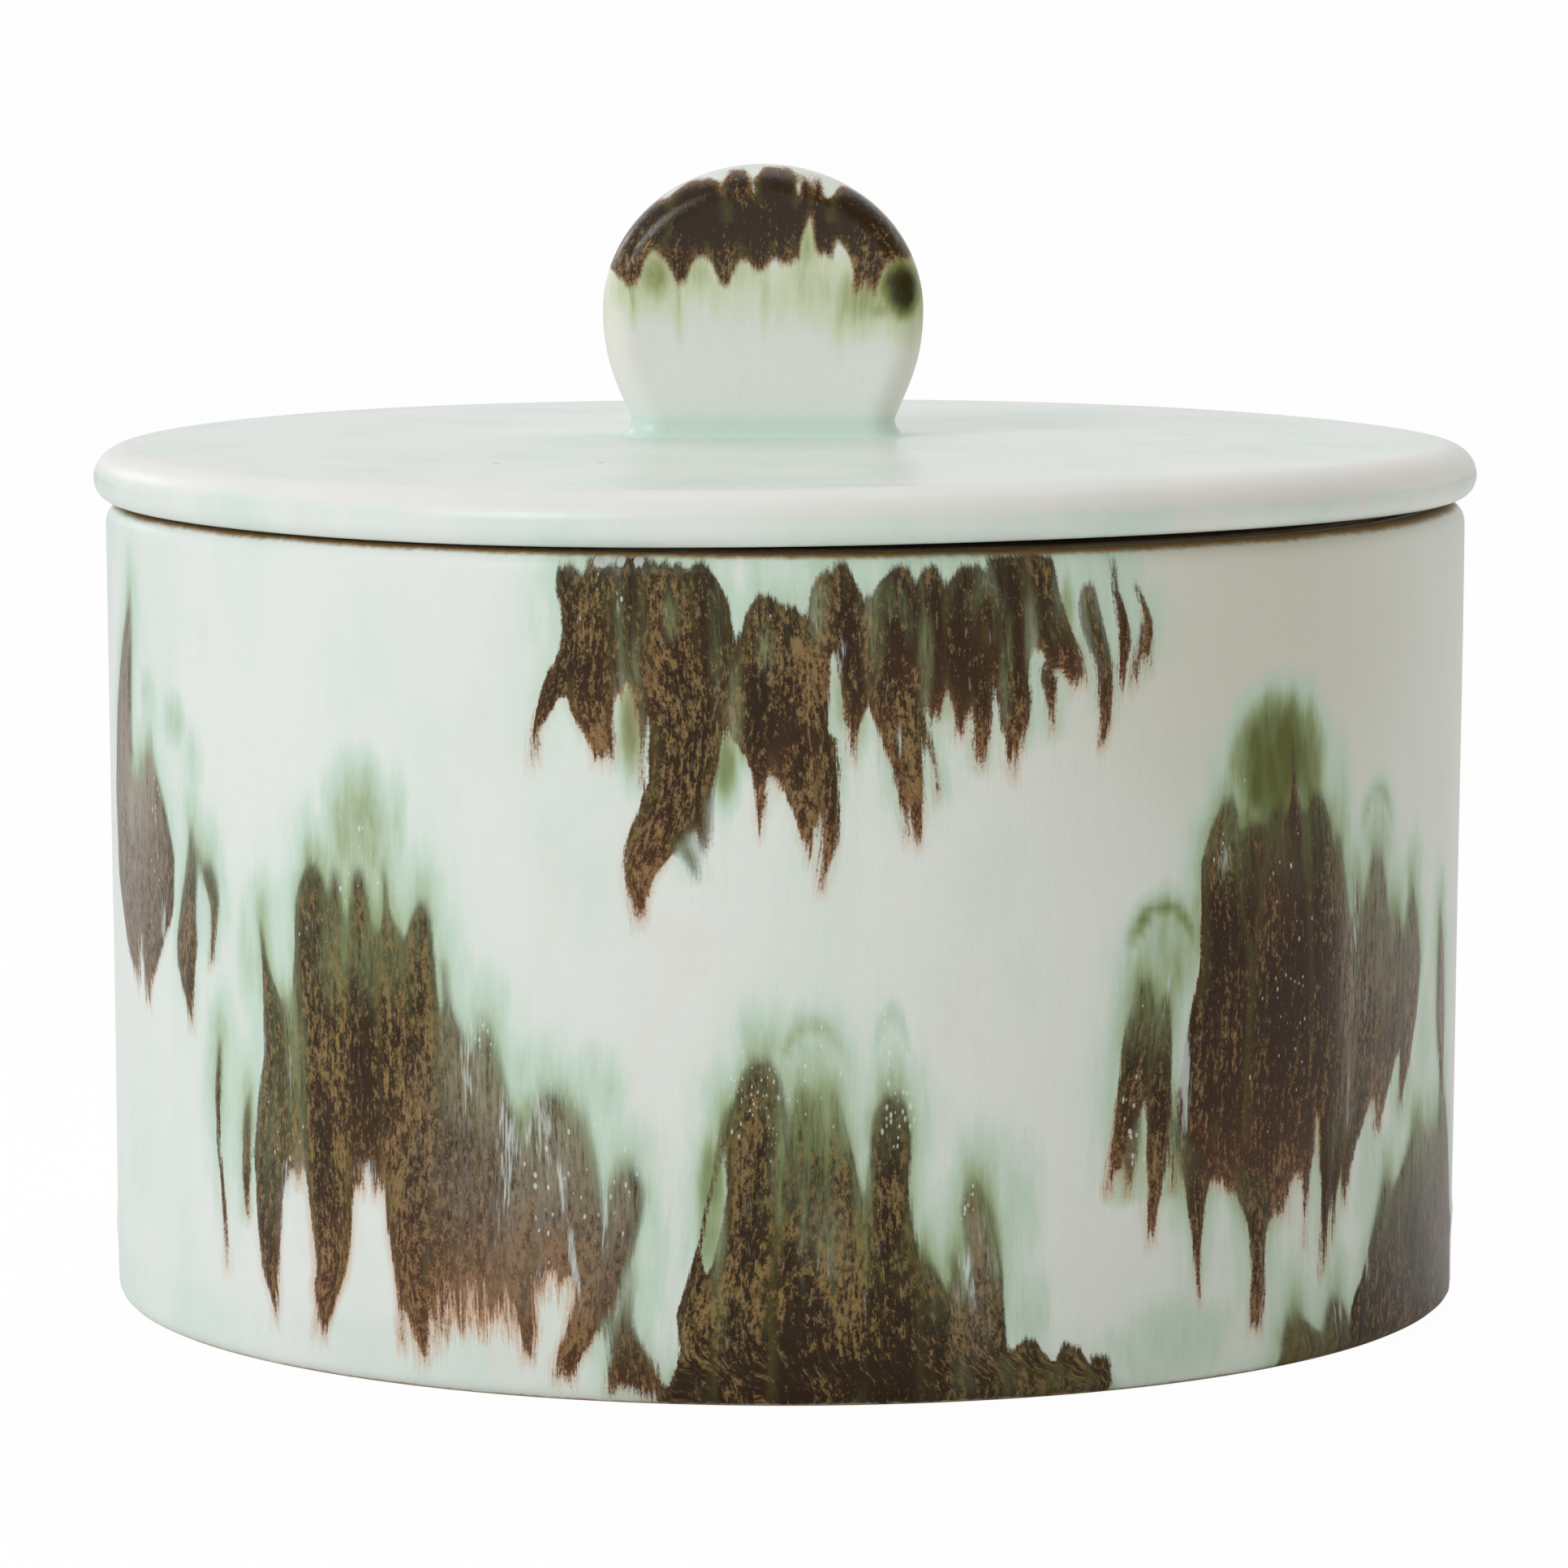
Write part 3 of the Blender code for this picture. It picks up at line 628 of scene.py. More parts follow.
# The side that the photograph doesn't show: the same hand, in five more falls
BACK_RUNS = runs(
    0.5, 0.85,
    ((103, 91, 16), (103, 87, 22), (103, 82, 20), (102, 78, 10)),
    ((138, 58, 12), (138, 54, 20), (138, 44, 25), (138, 34, 25), (138, 28, 18), (138, 25, 10)),
    ((175, 31, 14), (175, 25, 24), (174, 16, 32), (174, 8, 38), (174, -9, 44)),
    ((-145, 91, 14), (-145, 86, 20), (-145, 80, 18), (-146, 77, 10)),
    ((-115, 44, 12), (-115, 38, 22), (-115, 30, 24), (-116, 23, 16), (-116, 20, 8)),
    ((97, 94.3, 3.6), (97, 90, 6), (98, 84, 8), (99, 76, 7), (98, 70, 4.6), (97, 64, 2.6), (97, 59, 0.6)),
    ((102, 94, 3), (102, 90, 5.4), (103, 84, 7), (104, 78, 5), (104, 72, 2.6), (104, 67, 0.6)),
    ((108, 93.6, 2.6), (108, 89, 5), (108, 82, 5.4), (108, 75, 4.2), (109, 68, 3), (109, 61, 2.2),
     (109, 56, 0.6)),
    ((113, 93, 2.2), (113, 89, 4.2), (113, 84, 4.4), (113, 79, 2.2), (113, 76, 0.6)),
    ((131, 63, 2), (131, 58, 6), (131, 50, 8), (130, 42, 9), (130, 33, 9), (131, 26, 6), (132, 20, 3),
     (132, 13, 1.4), (132, 9, 0.6)),
    ((136, 66, 2.2), (137, 60, 6.4), (138, 50, 9), (138, 40, 10), (138, 31, 9), (137, 24, 5), (137, 17, 2),
     (137, 12, 0.6)),
    ((144, 60, 2), (144, 54, 5.4), (145, 46, 7.4), (145, 38, 8), (145, 30, 6.4), (144, 23, 3.4),
     (143, 16, 1.8), (143, 6, 1.2), (143, 4, 0.6)),
    ((151, 48, 1.8), (151, 43, 4.4), (151, 36, 5), (151, 29, 3.6), (150, 23, 1.6), (150, 19, 0.6)),
    ((168, 38, 2.2), (168, 33, 6), (168, 26, 7.4), (167, 18, 9), (167, 9, 12), (166, 1.3, 15)),
    ((175, 41, 2.4), (175, 36, 6.4), (175, 28, 8), (175, 18, 10), (175, 8, 12), (175, 1.3, 14)),
    ((-177, 34, 2), (-177, 29, 5.6), (-177, 22, 7), (-177, 13, 9), (-177, 1.3, 13)),
    ((-150, 94.3, 3.4), (-150, 89, 5.6), (-150, 82, 7), (-151, 74, 6), (-151, 66, 4), (-150, 58, 2.6),
     (-150, 52, 0.6)),
    ((-144, 94.2, 3), (-144, 89, 6), (-144, 81, 7), (-145, 74, 4.4), (-145, 68, 2), (-145, 64, 0.6)),
    ((-138, 93.6, 2.4), (-138, 89, 4.4), (-138, 84, 4.6), (-138, 78, 2.4), (-138, 73, 0.6)),
    ((-121, 47, 2), (-121, 42, 6), (-121, 34, 8), (-122, 26, 8.6), (-122, 18, 5.4), (-122, 10, 3),
     (-122, 4, 0.8)),
    ((-114, 52, 2.2), (-114, 46, 6.4), (-114, 38, 8.6), (-114, 30, 9), (-114, 22, 5.6), (-113, 14, 2.6),
     (-113, 8, 0.6)),
    ((-107, 44, 1.8), (-107, 39, 5), (-107, 31, 6), (-107, 23, 4.2), (-107, 15, 2), (-107, 10, 0.6)),
)

WALL_BLOOMS = (
    # Green where the brown thins out over the pale glaze
    *blooms(BloomKind.HALO,
        (-12, 76.5, 3.4, 13, 1), (-4.7, 72, 3.4, 10, 0.95), (-17, 88, 12, 14, 0.25), (-3.2, 74, 6, 6, 0.75),
        (4.4, 80, 2.6, 10, 0.7), (5.9, 76, 2.4, 7, 0.6), (12.6, 78.5, 5, 5, 0.7),
        (22.6, 88.5, 2.2, 9, 0.85), (24, 84, 3, 8, 0.5), (-66, 74.6, 5, 6, 0.5), (-60.4, 72.4, 6, 6, 0.55),
        (-57.2, 68, 5, 8, 0.4), (-36.4, 62.5, 10.5, 17, 0.75, 0.35), (-32.5, 61, 3.2, 17, 0.5),
        (-48.6, 47, 6.5, 15, 0.5), (-26.6, 46, 4, 14, 0.35), (-21, 36, 8, 8, 0.5), (-15.4, 35, 8, 11, 0.45),
        (-10.8, 18, 5, 18, 0.42), (-5.8, 22, 4, 20, 0.95, 0.35), (-29, 48, 4, 8, 0.5),
        (2.6, 35.5, 9.4, 18, 0.62, 0.3), (7.6, 37, 4.2, 17, 0.34), (12.2, 20, 6.5, 14, 0.42),
        (14.7, 24.5, 5, 7, 0.72), (19.6, 9, 6, 13, 0.42), (6.3, 28, 2.6, 14, 0.6),
        (43.4, 69.5, 15, 17, 1.25, 0.3), (40.6, 63.5, 7, 9, 1), (46.8, 69, 8, 16, 1.05, 0.4),
        (51.4, 61, 5, 18, 0.7), (32.4, 49, 9, 15, 0.72, 0.3), (35.6, 52, 5, 12, 0.8),
        (28.6, 42, 4, 15, 0.6), (57.6, 58, 8, 15, 0.62), (63.4, 29, 8, 12, 0.5), (68, 33, 8, 22, 0.42),
        (57, 21, 7, 16, 0.42), (30, 4, 16, 8, 0.3), (-36, 5, 60, 6, 0.12), (134, 66, 14, 16, 0.75, 0.35),
        (145, 60, 9, 12, 0.6), (171, 42, 16, 12, 0.7), (-117, 52, 18, 14, 0.6), (104, 74, 6, 12, 0.6),
        (-147, 72, 7, 12, 0.6), (2.2, 35.6, 9.4, 17, 0.7, 0.5, 0, 1), (31.6, 49, 10, 13, 0.95, 0.5, 0, 1),
        (57.4, 59, 8, 14, 0.7, 0.5, 0, 1), (-36.2, 64, 9, 14, 0.5, 0.5, 0, 1),
        (8.4, 38, 4.6, 14, 0.5, 0.5, 0, 1), (18.5, 22, 7, 18, 0.4), (34, 6, 16, 9, 0.4)),
    # Warmer ground at the upper right
    # Painted warm shade: the pale ground greyer and yellower at the upper right, on the side away from the
    # key light
    *blooms(BloomKind.PAINTED_SHADE,
        (42, 85, 60, 40, 1)),
    # Thin places, where the green under the brown shows
    *blooms(BloomKind.THIN,
        (3.6, 19, 3, 12, 0.5, 0.7), (3, 32, 6.4, 10, 0.75, 0.7), (-0.4, 28, 1.6, 14, 0.7, 0.7),
        (6.2, 25, 2, 14, 0.7, 0.7), (-5.2, 17, 1.6, 16, 0.6, 0.7), (1.4, 20, 1, 12, 0.5, 0.7),
        (15.8, 86.4, 4.6, 12, 0.35, 0.5, 0, 1), (8.4, 85.6, 4, 11, 0.4, 0.5, 0, 1),
        (25, 87.5, 4.4, 14, 0.35, 0.5), (-1.4, 84.6, 2, 4, 0.9, 0.5), (-9, 88, 1.8, 4, 0.7),
        (2.7, 88.5, 1.6, 7, 0.6, 0.5), (-13, 83, 1.4, 15, 0.6, 0.5), (11, 84, 1.6, 9, 0.6, 0.5),
        (17.6, 82, 1.4, 10, 0.6, 0.5), (-3.8, 78, 1.6, 8, 0.6, 0.5), (19.6, 86, 1.6, 8, 0.5, 0.5),
        (-37, 50, 12, 9, 0.35, 0.7), (-5.4, 84, 1.4, 14, 0.3, 0.7), (-11.6, 80, 1.6, 12, 0.6, 0.7),
        (6.9, 86, 2, 8, 0.7, 0.7), (21.8, 88, 2.4, 7, 0.25, 0.7), (-25.6, 37, 9, 12, 0.4, 0.7),
        (-18.4, 28, 8, 13, 0.4, 0.7), (38, 60, 4.6, 8, 0.3, 0.7), (58, 51, 8, 14, 0.3, 0.7),
        (30, 43, 5, 7, 0.45, 0.7), (15.6, 19, 3.4, 12, 0.35, 0.7), (66, 24, 16, 8, 0.25, 0.7),
        (-71, 66, 14, 14, 0.3, 0.7), (53.5, 44, 2.6, 22, 0.3, 0.7), (-43.4, 34, 3, 24, 0.8, 0.7),
        (-46.6, 30, 4.4, 26, 0.4, 0.7), (138, 55, 16, 10, 0.4, 0.7), (-115, 41, 14, 9, 0.4, 0.7),
        (174, 28, 14, 9, 0.4, 0.7)),
    # Darker patches
    *blooms(BloomKind.DARK,
        (-35.4, 31, 12, 18, 0.4, 0.6), (-40.4, 24, 5, 16, 0.5, 0.6), (44, 40, 26, 50, 1.1, 0.4),
        (44, 60, 16, 16, 1.4, 0.5), (17, 86, 22, 16, 1.3, 0.5), (9, 85, 10, 14, 0.8, 0.5),
        (-1, 82, 12, 16, 0.5, 0.5), (-10.6, 84, 22, 18, 0.5, 0.5), (66, 14, 40, 18, 0.9, 0.5),
        (60, 44, 14, 40, 0.4, 0.5), (6, 3, 50, 7, 0.9, 0.6), (9, 9, 14, 12, 0.5, 0.6),
        (-0.6, 8, 12, 10, 0.4, 0.6), (-2, 29, 5, 10, 0.5, 0.6), (-8.6, 72, 8, 10, 0.3, 0.6),
        (-0.6, 78, 7, 8, 0.5, 0.6), (-12.4, 88, 6, 10, 0.5, 0.6), (68, 6, 50, 9, 0.9, 0.6),
        (17.6, 90, 7, 6, 0.4, 0.6), (-19, 4, 14, 5, 0.7, 0.6), (-41, 12, 6, 8, 0.4, 0.6),
        (-31, 12, 5, 10, 0.4, 0.6)),
    # Milky streaks, and three painted highlights: small white glints at the shoulder under the rim
    *blooms(BloomKind.MILK_AND_SHEEN,
        (-12.7, 86, 0.8, 10, 0.4, 0.5, 0.12), (-11.4, 83, 0.6, 12, 0.4, 0.5, 0.1), (-9.2, 87.5, 1, 5, 0.4),
        (-1.4, 82, 1, 6, 0.45), (2.5, 89.5, 1, 8, 0.45), (7.8, 88, 1.2, 5, 0.4), (8, 80, 0.7, 13, 0.4),
        (16.2, 86, 1, 12, 0.35), (23.6, 89.5, 1.2, 7, 0.4), (9, 74.5, 0.9, 5, 0.7),
        # The three blooms at 94.1 mm are painted highlights, white glints on the glaze's bulge at the
        # shoulder
        (-14.5, 94.1, 1.7, 1.3, 1.5), (-12.9, 94.1, 1, 1.2, 1.4), (-11.5, 94.1, 1.2, 1.2, 1.4),
        (28.6, 86, 1.8, 7, 0.7), (4.3, 84, 1.2, 9, 0.6), (-56.3, 50.4, 2.6, 9, 1, 0.3),
        (-63, 48.5, 2.4, 7, 0.85), (-48.2, 36, 4, 12, 0.6), (-44, 35, 1, 22, 0.6), (-44.8, 22, 2.4, 6, 0.7),
        (-35.9, 24, 3.4, 5, 0.72), (-41, 50, 1.4, 12, 0.4), (-22.4, 29, 3, 18, 0.7),
        (-26, 37, 2.8, 18, 0.62), (-20, 31, 3, 9, 0.7), (-17.8, 23, 1.2, 9, 0.7, 0.5, 0.12),
        (-17, 16, 1.3, 12, 0.85, 0.5, 0.16), (-19.4, 12.6, 4.2, 6, 0.6), (-14.4, 22, 1, 12, 0.8),
        (-11.8, 26.5, 1.2, 6, 0.7), (-19, 30, 1.2, 8, 0.7), (-23.6, 21, 1.2, 10, 0.5),
        (-9.4, 8, 2.4, 10, 0.8), (-3, 22, 1.2, 12, 0.5, 0.5, 0.1), (-3.4, 10, 1.2, 12, 0.45),
        (3, 16, 1.8, 6, 0.5), (5.9, 29, 1, 14, 0.6), (14.4, 13.5, 3.6, 13, 0.55), (16.1, 17, 1.8, 12, 0.5),
        (18.2, 8, 1.2, 9, 0.6), (6.4, 12.5, 1, 9, 0.5), (37.6, 59, 3, 6, 0.62), (33.8, 36, 1.6, 18, 0.95),
        (31.9, 45, 3, 8, 0.5), (53.8, 50, 2.6, 20, 0.7), (55.6, 40, 1.4, 20, 0.5), (60.8, 44, 1, 16, 0.5),
        (53.2, 29, 1, 9, 0.6), (56.6, 14, 1.6, 16, 0.7), (52.2, 6, 4, 6, 0.6), (62.4, 12, 1.4, 14, 0.4),
        (134.5, 55, 2, 14, 0.6), (141, 46, 1.6, 18, 0.7), (171.5, 24, 2, 18, 0.6), (-117.6, 38, 2, 16, 0.7),
        (-147, 86, 1.8, 12, 0.6), (105.4, 84, 1.8, 12, 0.6)),
    # Ochre and gold flecks where the brown is thick
    *blooms(BloomKind.GOLD,
        (-10, 76, 22, 26, 0.5), (2, 76, 12, 24, 0.35), (14, 84, 20, 16, 0.35), (-37.5, 34, 22, 34, 1),
        (-41, 48, 10, 20, 0.6), (-26, 25, 10, 20, 0.4), (3, 12, 30, 20, 1), (-1, 18, 5, 10, 1.2),
        (7.5, 14, 8, 16, 1.2), (42, 42, 24, 34, 0.55), (30, 42, 6, 20, 0.4), (138, 42, 22, 30, 0.8),
        (172, 16, 26, 24, 0.8), (-116, 32, 20, 26, 0.6), (104, 84, 18, 18, 0.4), (-145, 82, 18, 18, 0.4),
        (0, 50, 2000, 2000, 0.25)),
    # Greyer, thinner brown
    *blooms(BloomKind.SMOKE,
        (-71, 64, 30, 50, 1), (-59, 52, 10, 26, 0.35), (-22, 24, 22, 30, 0.75), (-14, 20, 8, 22, 0.7),
        (60, 44, 18, 40, 0.6), (68, 16, 26, 30, 0.45), (15.4, 14, 5, 18, 0.6), (73, 38, 8, 26, 1),
        (-26, 34, 7, 24, 0.6), (52, 46, 6, 30, 0.4), (2.8, 20, 6, 10, 0.15), (53.4, 44, 6, 34, 0.9),
        (54.6, 52, 5, 20, 0.8)),
    # Rusty places
    *blooms(BloomKind.RUST,
        (43.6, 58, 10, 16, 0.7, 0.6), (43, 40, 26, 40, 0.25, 0.5), (41, 27, 26, 12, 0.35),
        (-35, 12, 30, 18, 0.5), (-23, 12, 24, 13, 0.85), (-43.2, 13, 5, 16, 0.8), (-40, 14, 7, 14, 0.4),
        (28, 27, 8, 12, 0.35), (-10, 60, 6, 12, 0.3)),
    # White bubbles
    *blooms(BloomKind.BUBBLE,
        (-2, 34.5, 6.6, 12, 1), (9.4, 33, 4.6, 9, 1), (8.4, 41, 2.4, 14, 0.9), (-24.6, 41, 3, 8, 0.9),
        (-18, 24, 9, 24, 0.55), (-13, 23, 4, 10, 0.6), (-35, 60, 9, 14, 0.45), (-40, 52, 8, 12, 0.4),
        (2.4, 38, 9, 14, 0.5), (-1.4, 86, 6, 10, 0.35), (-15, 90, 8, 8, 0.35), (15, 23, 2.6, 5, 0.9),
        (37.4, 60, 4.4, 8, 0.5), (44, 44, 14, 40, 0.3), (29, 30, 5, 20, 0.5), (-64.5, 58, 4, 18, 0.6),
        (-44.8, 24, 8, 10, 0.5), (135, 56, 8, 14, 0.6)),
)

# The knob, in millimetres from its middle: scalloped brown over the top, green under it
KNOB_RUNS = runs(
    0, 0.15,
    ((-1.6, 131.6, 12), (-1.6, 130.4, 20), (-1.2, 129, 27), (-0.6, 127.4, 31), (-0.4, 126, 33),
     (-0.4, 125, 33), (-0.4, 124.2, 24)),
    ((-7.2, 133.3, 2), (-7.4, 132.2, 6), (-7.6, 130.5, 8), (-8, 128, 9)),
    ((-3, 134.3, 1.6), (-3, 133, 3.2), (-2.9, 131, 4)),
    ((1.6, 134.8, 2.6), (1.6, 133.6, 5), (1.6, 132, 5.6), (1.6, 130, 5.6)),
    ((4.9, 133.4, 0.7), (4.8, 131.5, 1.7), (4.7, 129.5, 2.4)),
    ((6.5, 133.2, 0.6), (6.5, 131.2, 1.4), (6.6, 129, 2.4)),
    ((10.4, 132.6, 2.4), (10.8, 131, 5.6), (11.6, 129, 9), (12.6, 127, 10.5), (13.6, 125, 9),
     (14.8, 123.6, 5)),
    ((-12.4, 130.9, 1.4), (-12.9, 129, 4.4), (-13.8, 127, 7), (-15, 125, 7), (-16.2, 123, 4.4),
     (-16, 121, 1.4)),
    ((-15.6, 124.5, 3), (-15.6, 122.5, 1.8), (-15.6, 120.8, 0.5)),
    ((-9.9, 125, 4.4), (-9.8, 123, 2.6), (-9.8, 120.2, 0.6)),
    ((-4.7, 125.5, 5), (-4.6, 123.4, 3), (-4.5, 120.5, 0.8)),
    ((-0.6, 125.4, 4.4), (-0.4, 123.6, 2.4), (-0.3, 122.2, 0.8)),
    ((2.4, 125.6, 4), (2.8, 124.2, 2), (3, 123.2, 0.6)),
    ((11, 125, 3.4), (11.2, 122.5, 2), (11.1, 119.9, 0.6)),
    ((13.2, 125, 3), (13.1, 122.4, 1.8), (12.9, 119.8, 0.5)),
)

KNOB_GAPS = runs(
    0.1, 0,
    ((5.6, 128.6, 0.3), (5.4, 127.4, 0.8), (5.2, 126, 1.2), (5.3, 124.6, 1.9), (5.4, 122, 2.6)),
    ((8.8, 126, 0.3), (9, 124.9, 1.6), (9.4, 123, 2.6), (9.6, 120, 2.4)),
    ((-12.9, 124.8, 0.4), (-12.9, 123.4, 2.6), (-12.9, 121, 3.4)),
    ((-5, 135, 0.7), (-5.1, 133.4, 0.5), (-5.2, 132.2, 0.1)),
    ((-1.3, 135.4, 0.7), (-1.3, 133.6, 0.5), (-1.3, 131.6, 0.1)),
    ((4.2, 135, 0.8), (4.2, 133, 0.5), (4.2, 131.4, 0.1)),
)

KNOB_BLOOMS = (
    # Green where the brown thins out over the pale glaze
    *blooms(BloomKind.HALO,
        (-12.6, 122.2, 6.5, 7.4, 0.75, 0.9), (-7.4, 121.8, 4.6, 7, 0.62, 0.8), (-2, 122, 8, 6.5, 0.5, 0.8),
        (5.4, 125.6, 3.4, 8, 0.72, 0.7), (6.4, 121, 8, 9, 0.55, 0.7), (11.6, 119.4, 9, 8.5, 0.7, 0.7),
        (16.4, 120.2, 5, 7.6, 1.4, 0.7), (16.4, 120, 7.4, 10, 0.85, 0.6), (15.2, 117.8, 8, 3.4, 0.8, 0.8),
        (-15.4, 119.6, 1.4, 7, 0.6, 0.7), (-9.9, 118.6, 1.2, 8, 0.6, 0.7), (0.2, 119.8, 1.6, 8, 0.6, 0.7),
        (9, 118.4, 2, 9, 0.6, 0.7), (-16.8, 120.5, 3, 5, 0.5, 0.7), (0, 119.4, 36, 7, 0.32, 0.9)),
    # Darker patches
    *blooms(BloomKind.DARK,
        (-3, 131, 32, 14, 2, 0.4), (13, 127, 14, 12, 0.8, 0.5)),
    # Ochre and gold flecks where the brown is thick
    *blooms(BloomKind.GOLD,
        (-3, 125.6, 26, 4, 0.35)),
    # White bubbles
    *blooms(BloomKind.BUBBLE,
        (-2, 129, 34, 8, 0.03)),
)

# Pale gaps that the brown leaves open
WALL_GAPS = runs(
    0.3, 0,
    ((-35.8, 24.6, 0.5), (-35.6, 21.5, 2), (-35.5, 17, 3.8), (-35.6, 11, 6), (-35.6, 4, 7)),
    ((-43.6, 22.6, 0.5), (-43.5, 19.5, 2.2), (-43.4, 15, 3.4), (-43.4, 8, 5), (-43.6, 3, 5)),
    ((-19, 14.6, 0.5), (-18.9, 12.6, 2.6), (-19, 9.6, 3.2), (-19.4, 6, 1.6)),
    ((-9.3, 12.4, 0.4), (-9.3, 9.4, 2.2), (-9.4, 6, 3), (-9.5, 3.4, 1.6), (-9.6, 2.2, 0.4)),
    ((3.7, 84, 0.3), (3.9, 81, 1), (4, 77.5, 1.8), (4, 74.8, 2.4)),
    ((-12.4, 80.4, 0.3), (-12.5, 78, 1.3), (-12.6, 74, 1.9), (-12.7, 70, 2.4)),
    ((-4.2, 93.4, 2), (-4, 90, 1.2), (-4, 87.4, 0.5), (-4, 86.4, 0.2)),
    ((49, 29.4, 0.3), (49, 27, 0.6), (49, 23, 0.9), (48.9, 19, 1.4)),
    ((37.8, 22.8, 0.4), (37.8, 20.6, 3), (37.8, 17, 4.4)),
)


class Net:
    """A node tree with short calls for the nodes that the finishes use."""

    def __init__(self, tree: bpy.types.NodeTree) -> None:
        """Starts with an existing tree."""
        self.tree = tree

    def node(self, kind: str, **settings: object) -> bpy.types.Node:
        """Adds a node and sets its properties."""
        made = self.tree.nodes.new(kind)
        for name, value in settings.items():
            setattr(made, name, value)
        return made

    def put(self, socket: bpy.types.NodeSocket, value: Value) -> None:
        """Links a socket to another node's output, or gives it a constant."""
        if isinstance(value, bpy.types.NodeSocket):
            self.tree.links.new(value, socket)
        elif isinstance(value, tuple) and socket.type == "RGBA":
            socket.default_value = (*value, 1.0)
        else:
            socket.default_value = value

    def math(self, operation: str, first: Value, second: Value = 0.0,
             clamp: bool = False) -> bpy.types.NodeSocket:
        """Does arithmetic on two values."""
        made = self.node("ShaderNodeMath", operation=operation, use_clamp=clamp)
        self.put(made.inputs[0], first)
        self.put(made.inputs[1], second)
        return made.outputs[0]

    def scaled(self, value: Value, factor: Value, plus: Value = 0.0) -> bpy.types.NodeSocket:
        """Multiplies a value by a factor and adds to it."""
        made = self.node("ShaderNodeMath", operation="MULTIPLY_ADD")
        self.put(made.inputs[0], value)
        self.put(made.inputs[1], factor)
        self.put(made.inputs[2], plus)
        return made.outputs[0]

    def times(self, first: Value, second: Value) -> bpy.types.NodeSocket:
        """Multiplies two values."""
        return self.math("MULTIPLY", first, second)

    def flipped(self, value: Value) -> bpy.types.NodeSocket:
        """Takes a share away from 1."""
        return self.math("SUBTRACT", 1.0, value)

    def capped(self, value: Value) -> bpy.types.NodeSocket:
        """Keeps a value from passing 1."""
        return self.math("MINIMUM", value, 1.0)

    def total(self, *values: Union[Value, Tuple[Value, Value]]) -> bpy.types.NodeSocket:
        """Adds up values, of which a pair is a value and its factor."""
        parts = [self.scaled(*value) if isinstance(value, tuple) else value for value in values]
        result = parts[0]
        for part in parts[1:]:
            result = self.math("ADD", result, part)
        return result

    def rise(self, value: Value, low: Value, high: Value) -> bpy.types.NodeSocket:
        """Rises softly from 0 at low to 1 at high."""
        made = self.node("ShaderNodeMapRange", interpolation_type="SMOOTHSTEP")
        self.put(made.inputs["Value"], value)
        self.put(made.inputs["From Min"], low)
        self.put(made.inputs["From Max"], high)
        return made.outputs["Result"]

    def mix(self, share: Value, first: Value, second: Value) -> bpy.types.NodeSocket:
        """Mixes two colours."""
        made = self.node("ShaderNodeMix", data_type="RGBA")
        self.put(made.inputs["Factor"], share)
        self.put(made.inputs[6], first)
        self.put(made.inputs[7], second)
        return made.outputs[2]

    def stretch(self, vector: Value, across: float, along: float) -> bpy.types.NodeSocket:
        """Scales a place in space across the wall and along its height."""
        return self.space("MULTIPLY", vector, (across, across, along))["Vector"]

    def space(self, operation: str, vector: Value, other: Place = (0.0, 0.0, 0.0)) -> Sockets:
        """Does arithmetic on a place in space and a fixed one."""
        made = self.node("ShaderNodeVectorMath", operation=operation)
        self.put(made.inputs[0], vector)
        made.inputs[1].default_value = other
        return made.outputs

    def parts(self, vector: Value) -> Sockets:
        """Splits a place in space into X, Y and Z."""
        made = self.node("ShaderNodeSeparateXYZ")
        self.put(made.inputs[0], vector)
        return made.outputs

    def noise(self, vector: Value, across: float, along: float, detail: float = 3.0, rough: float = 0.55,
              warp: float = 0.0) -> bpy.types.NodeSocket:
        """Centred noise, about -0.25 to 0.25, with its frequencies per unit across and along."""
        made = self.node("ShaderNodeTexNoise")
        self.put(made.inputs["Vector"], self.stretch(vector, across, along))
        made.inputs["Scale"].default_value = 1.0
        made.inputs["Detail"].default_value = detail
        made.inputs["Roughness"].default_value = rough
        made.inputs["Distortion"].default_value = warp
        return self.math("SUBTRACT", made.outputs["Fac"], 0.5)

    def dots(self, vector: Value, across: float, along: float, radius: float,
             share: Value) -> bpy.types.NodeSocket:
        """Scattered round dots.

        Args:
            vector: Place in space.
            across: Cells per unit across the wall.
            along: Cells per unit along its height.
            radius: Radius of the largest dots, as a share of a cell.
            share: Share of the cells that hold a dot.

        Returns:
            A mask, 1 inside the dots.
        """
        made = self.node("ShaderNodeTexVoronoi")
        self.put(made.inputs["Vector"], self.stretch(vector, across, along))
        made.inputs["Scale"].default_value = 1.0
        split = self.node("ShaderNodeSeparateColor")
        self.put(split.inputs[0], made.outputs["Color"])
        size = self.times(self.math("ADD", split.outputs[1], 0.35), radius)
        inside = self.flipped(self.rise(made.outputs["Distance"], self.times(size, 0.55), size))
        chosen = self.math("LESS_THAN", split.outputs[0], share)
        return self.times(inside, chosen)


def new_group(name: str, inputs: Dict[str, str], outputs: Dict[str, str]) -> Tuple[Net, Sockets, Sockets]:
    """Starts a shader node group.

    Args:
        name: Name of the group.
        inputs: Kind of each named input.
        outputs: Kind of each named output.

    Returns:
        The group's net, the sockets that give its inputs and the sockets that take its outputs.
    """
    tree = bpy.data.node_groups.new(name, "ShaderNodeTree")
    for side, sockets in (("INPUT", inputs), ("OUTPUT", outputs)):
        for label, kind in sockets.items():
            tree.interface.new_socket(name=label, in_out=side, socket_type="NodeSocket" + kind)
    net = Net(tree)
    return net, net.node("NodeGroupInput").outputs, net.node("NodeGroupOutput").inputs


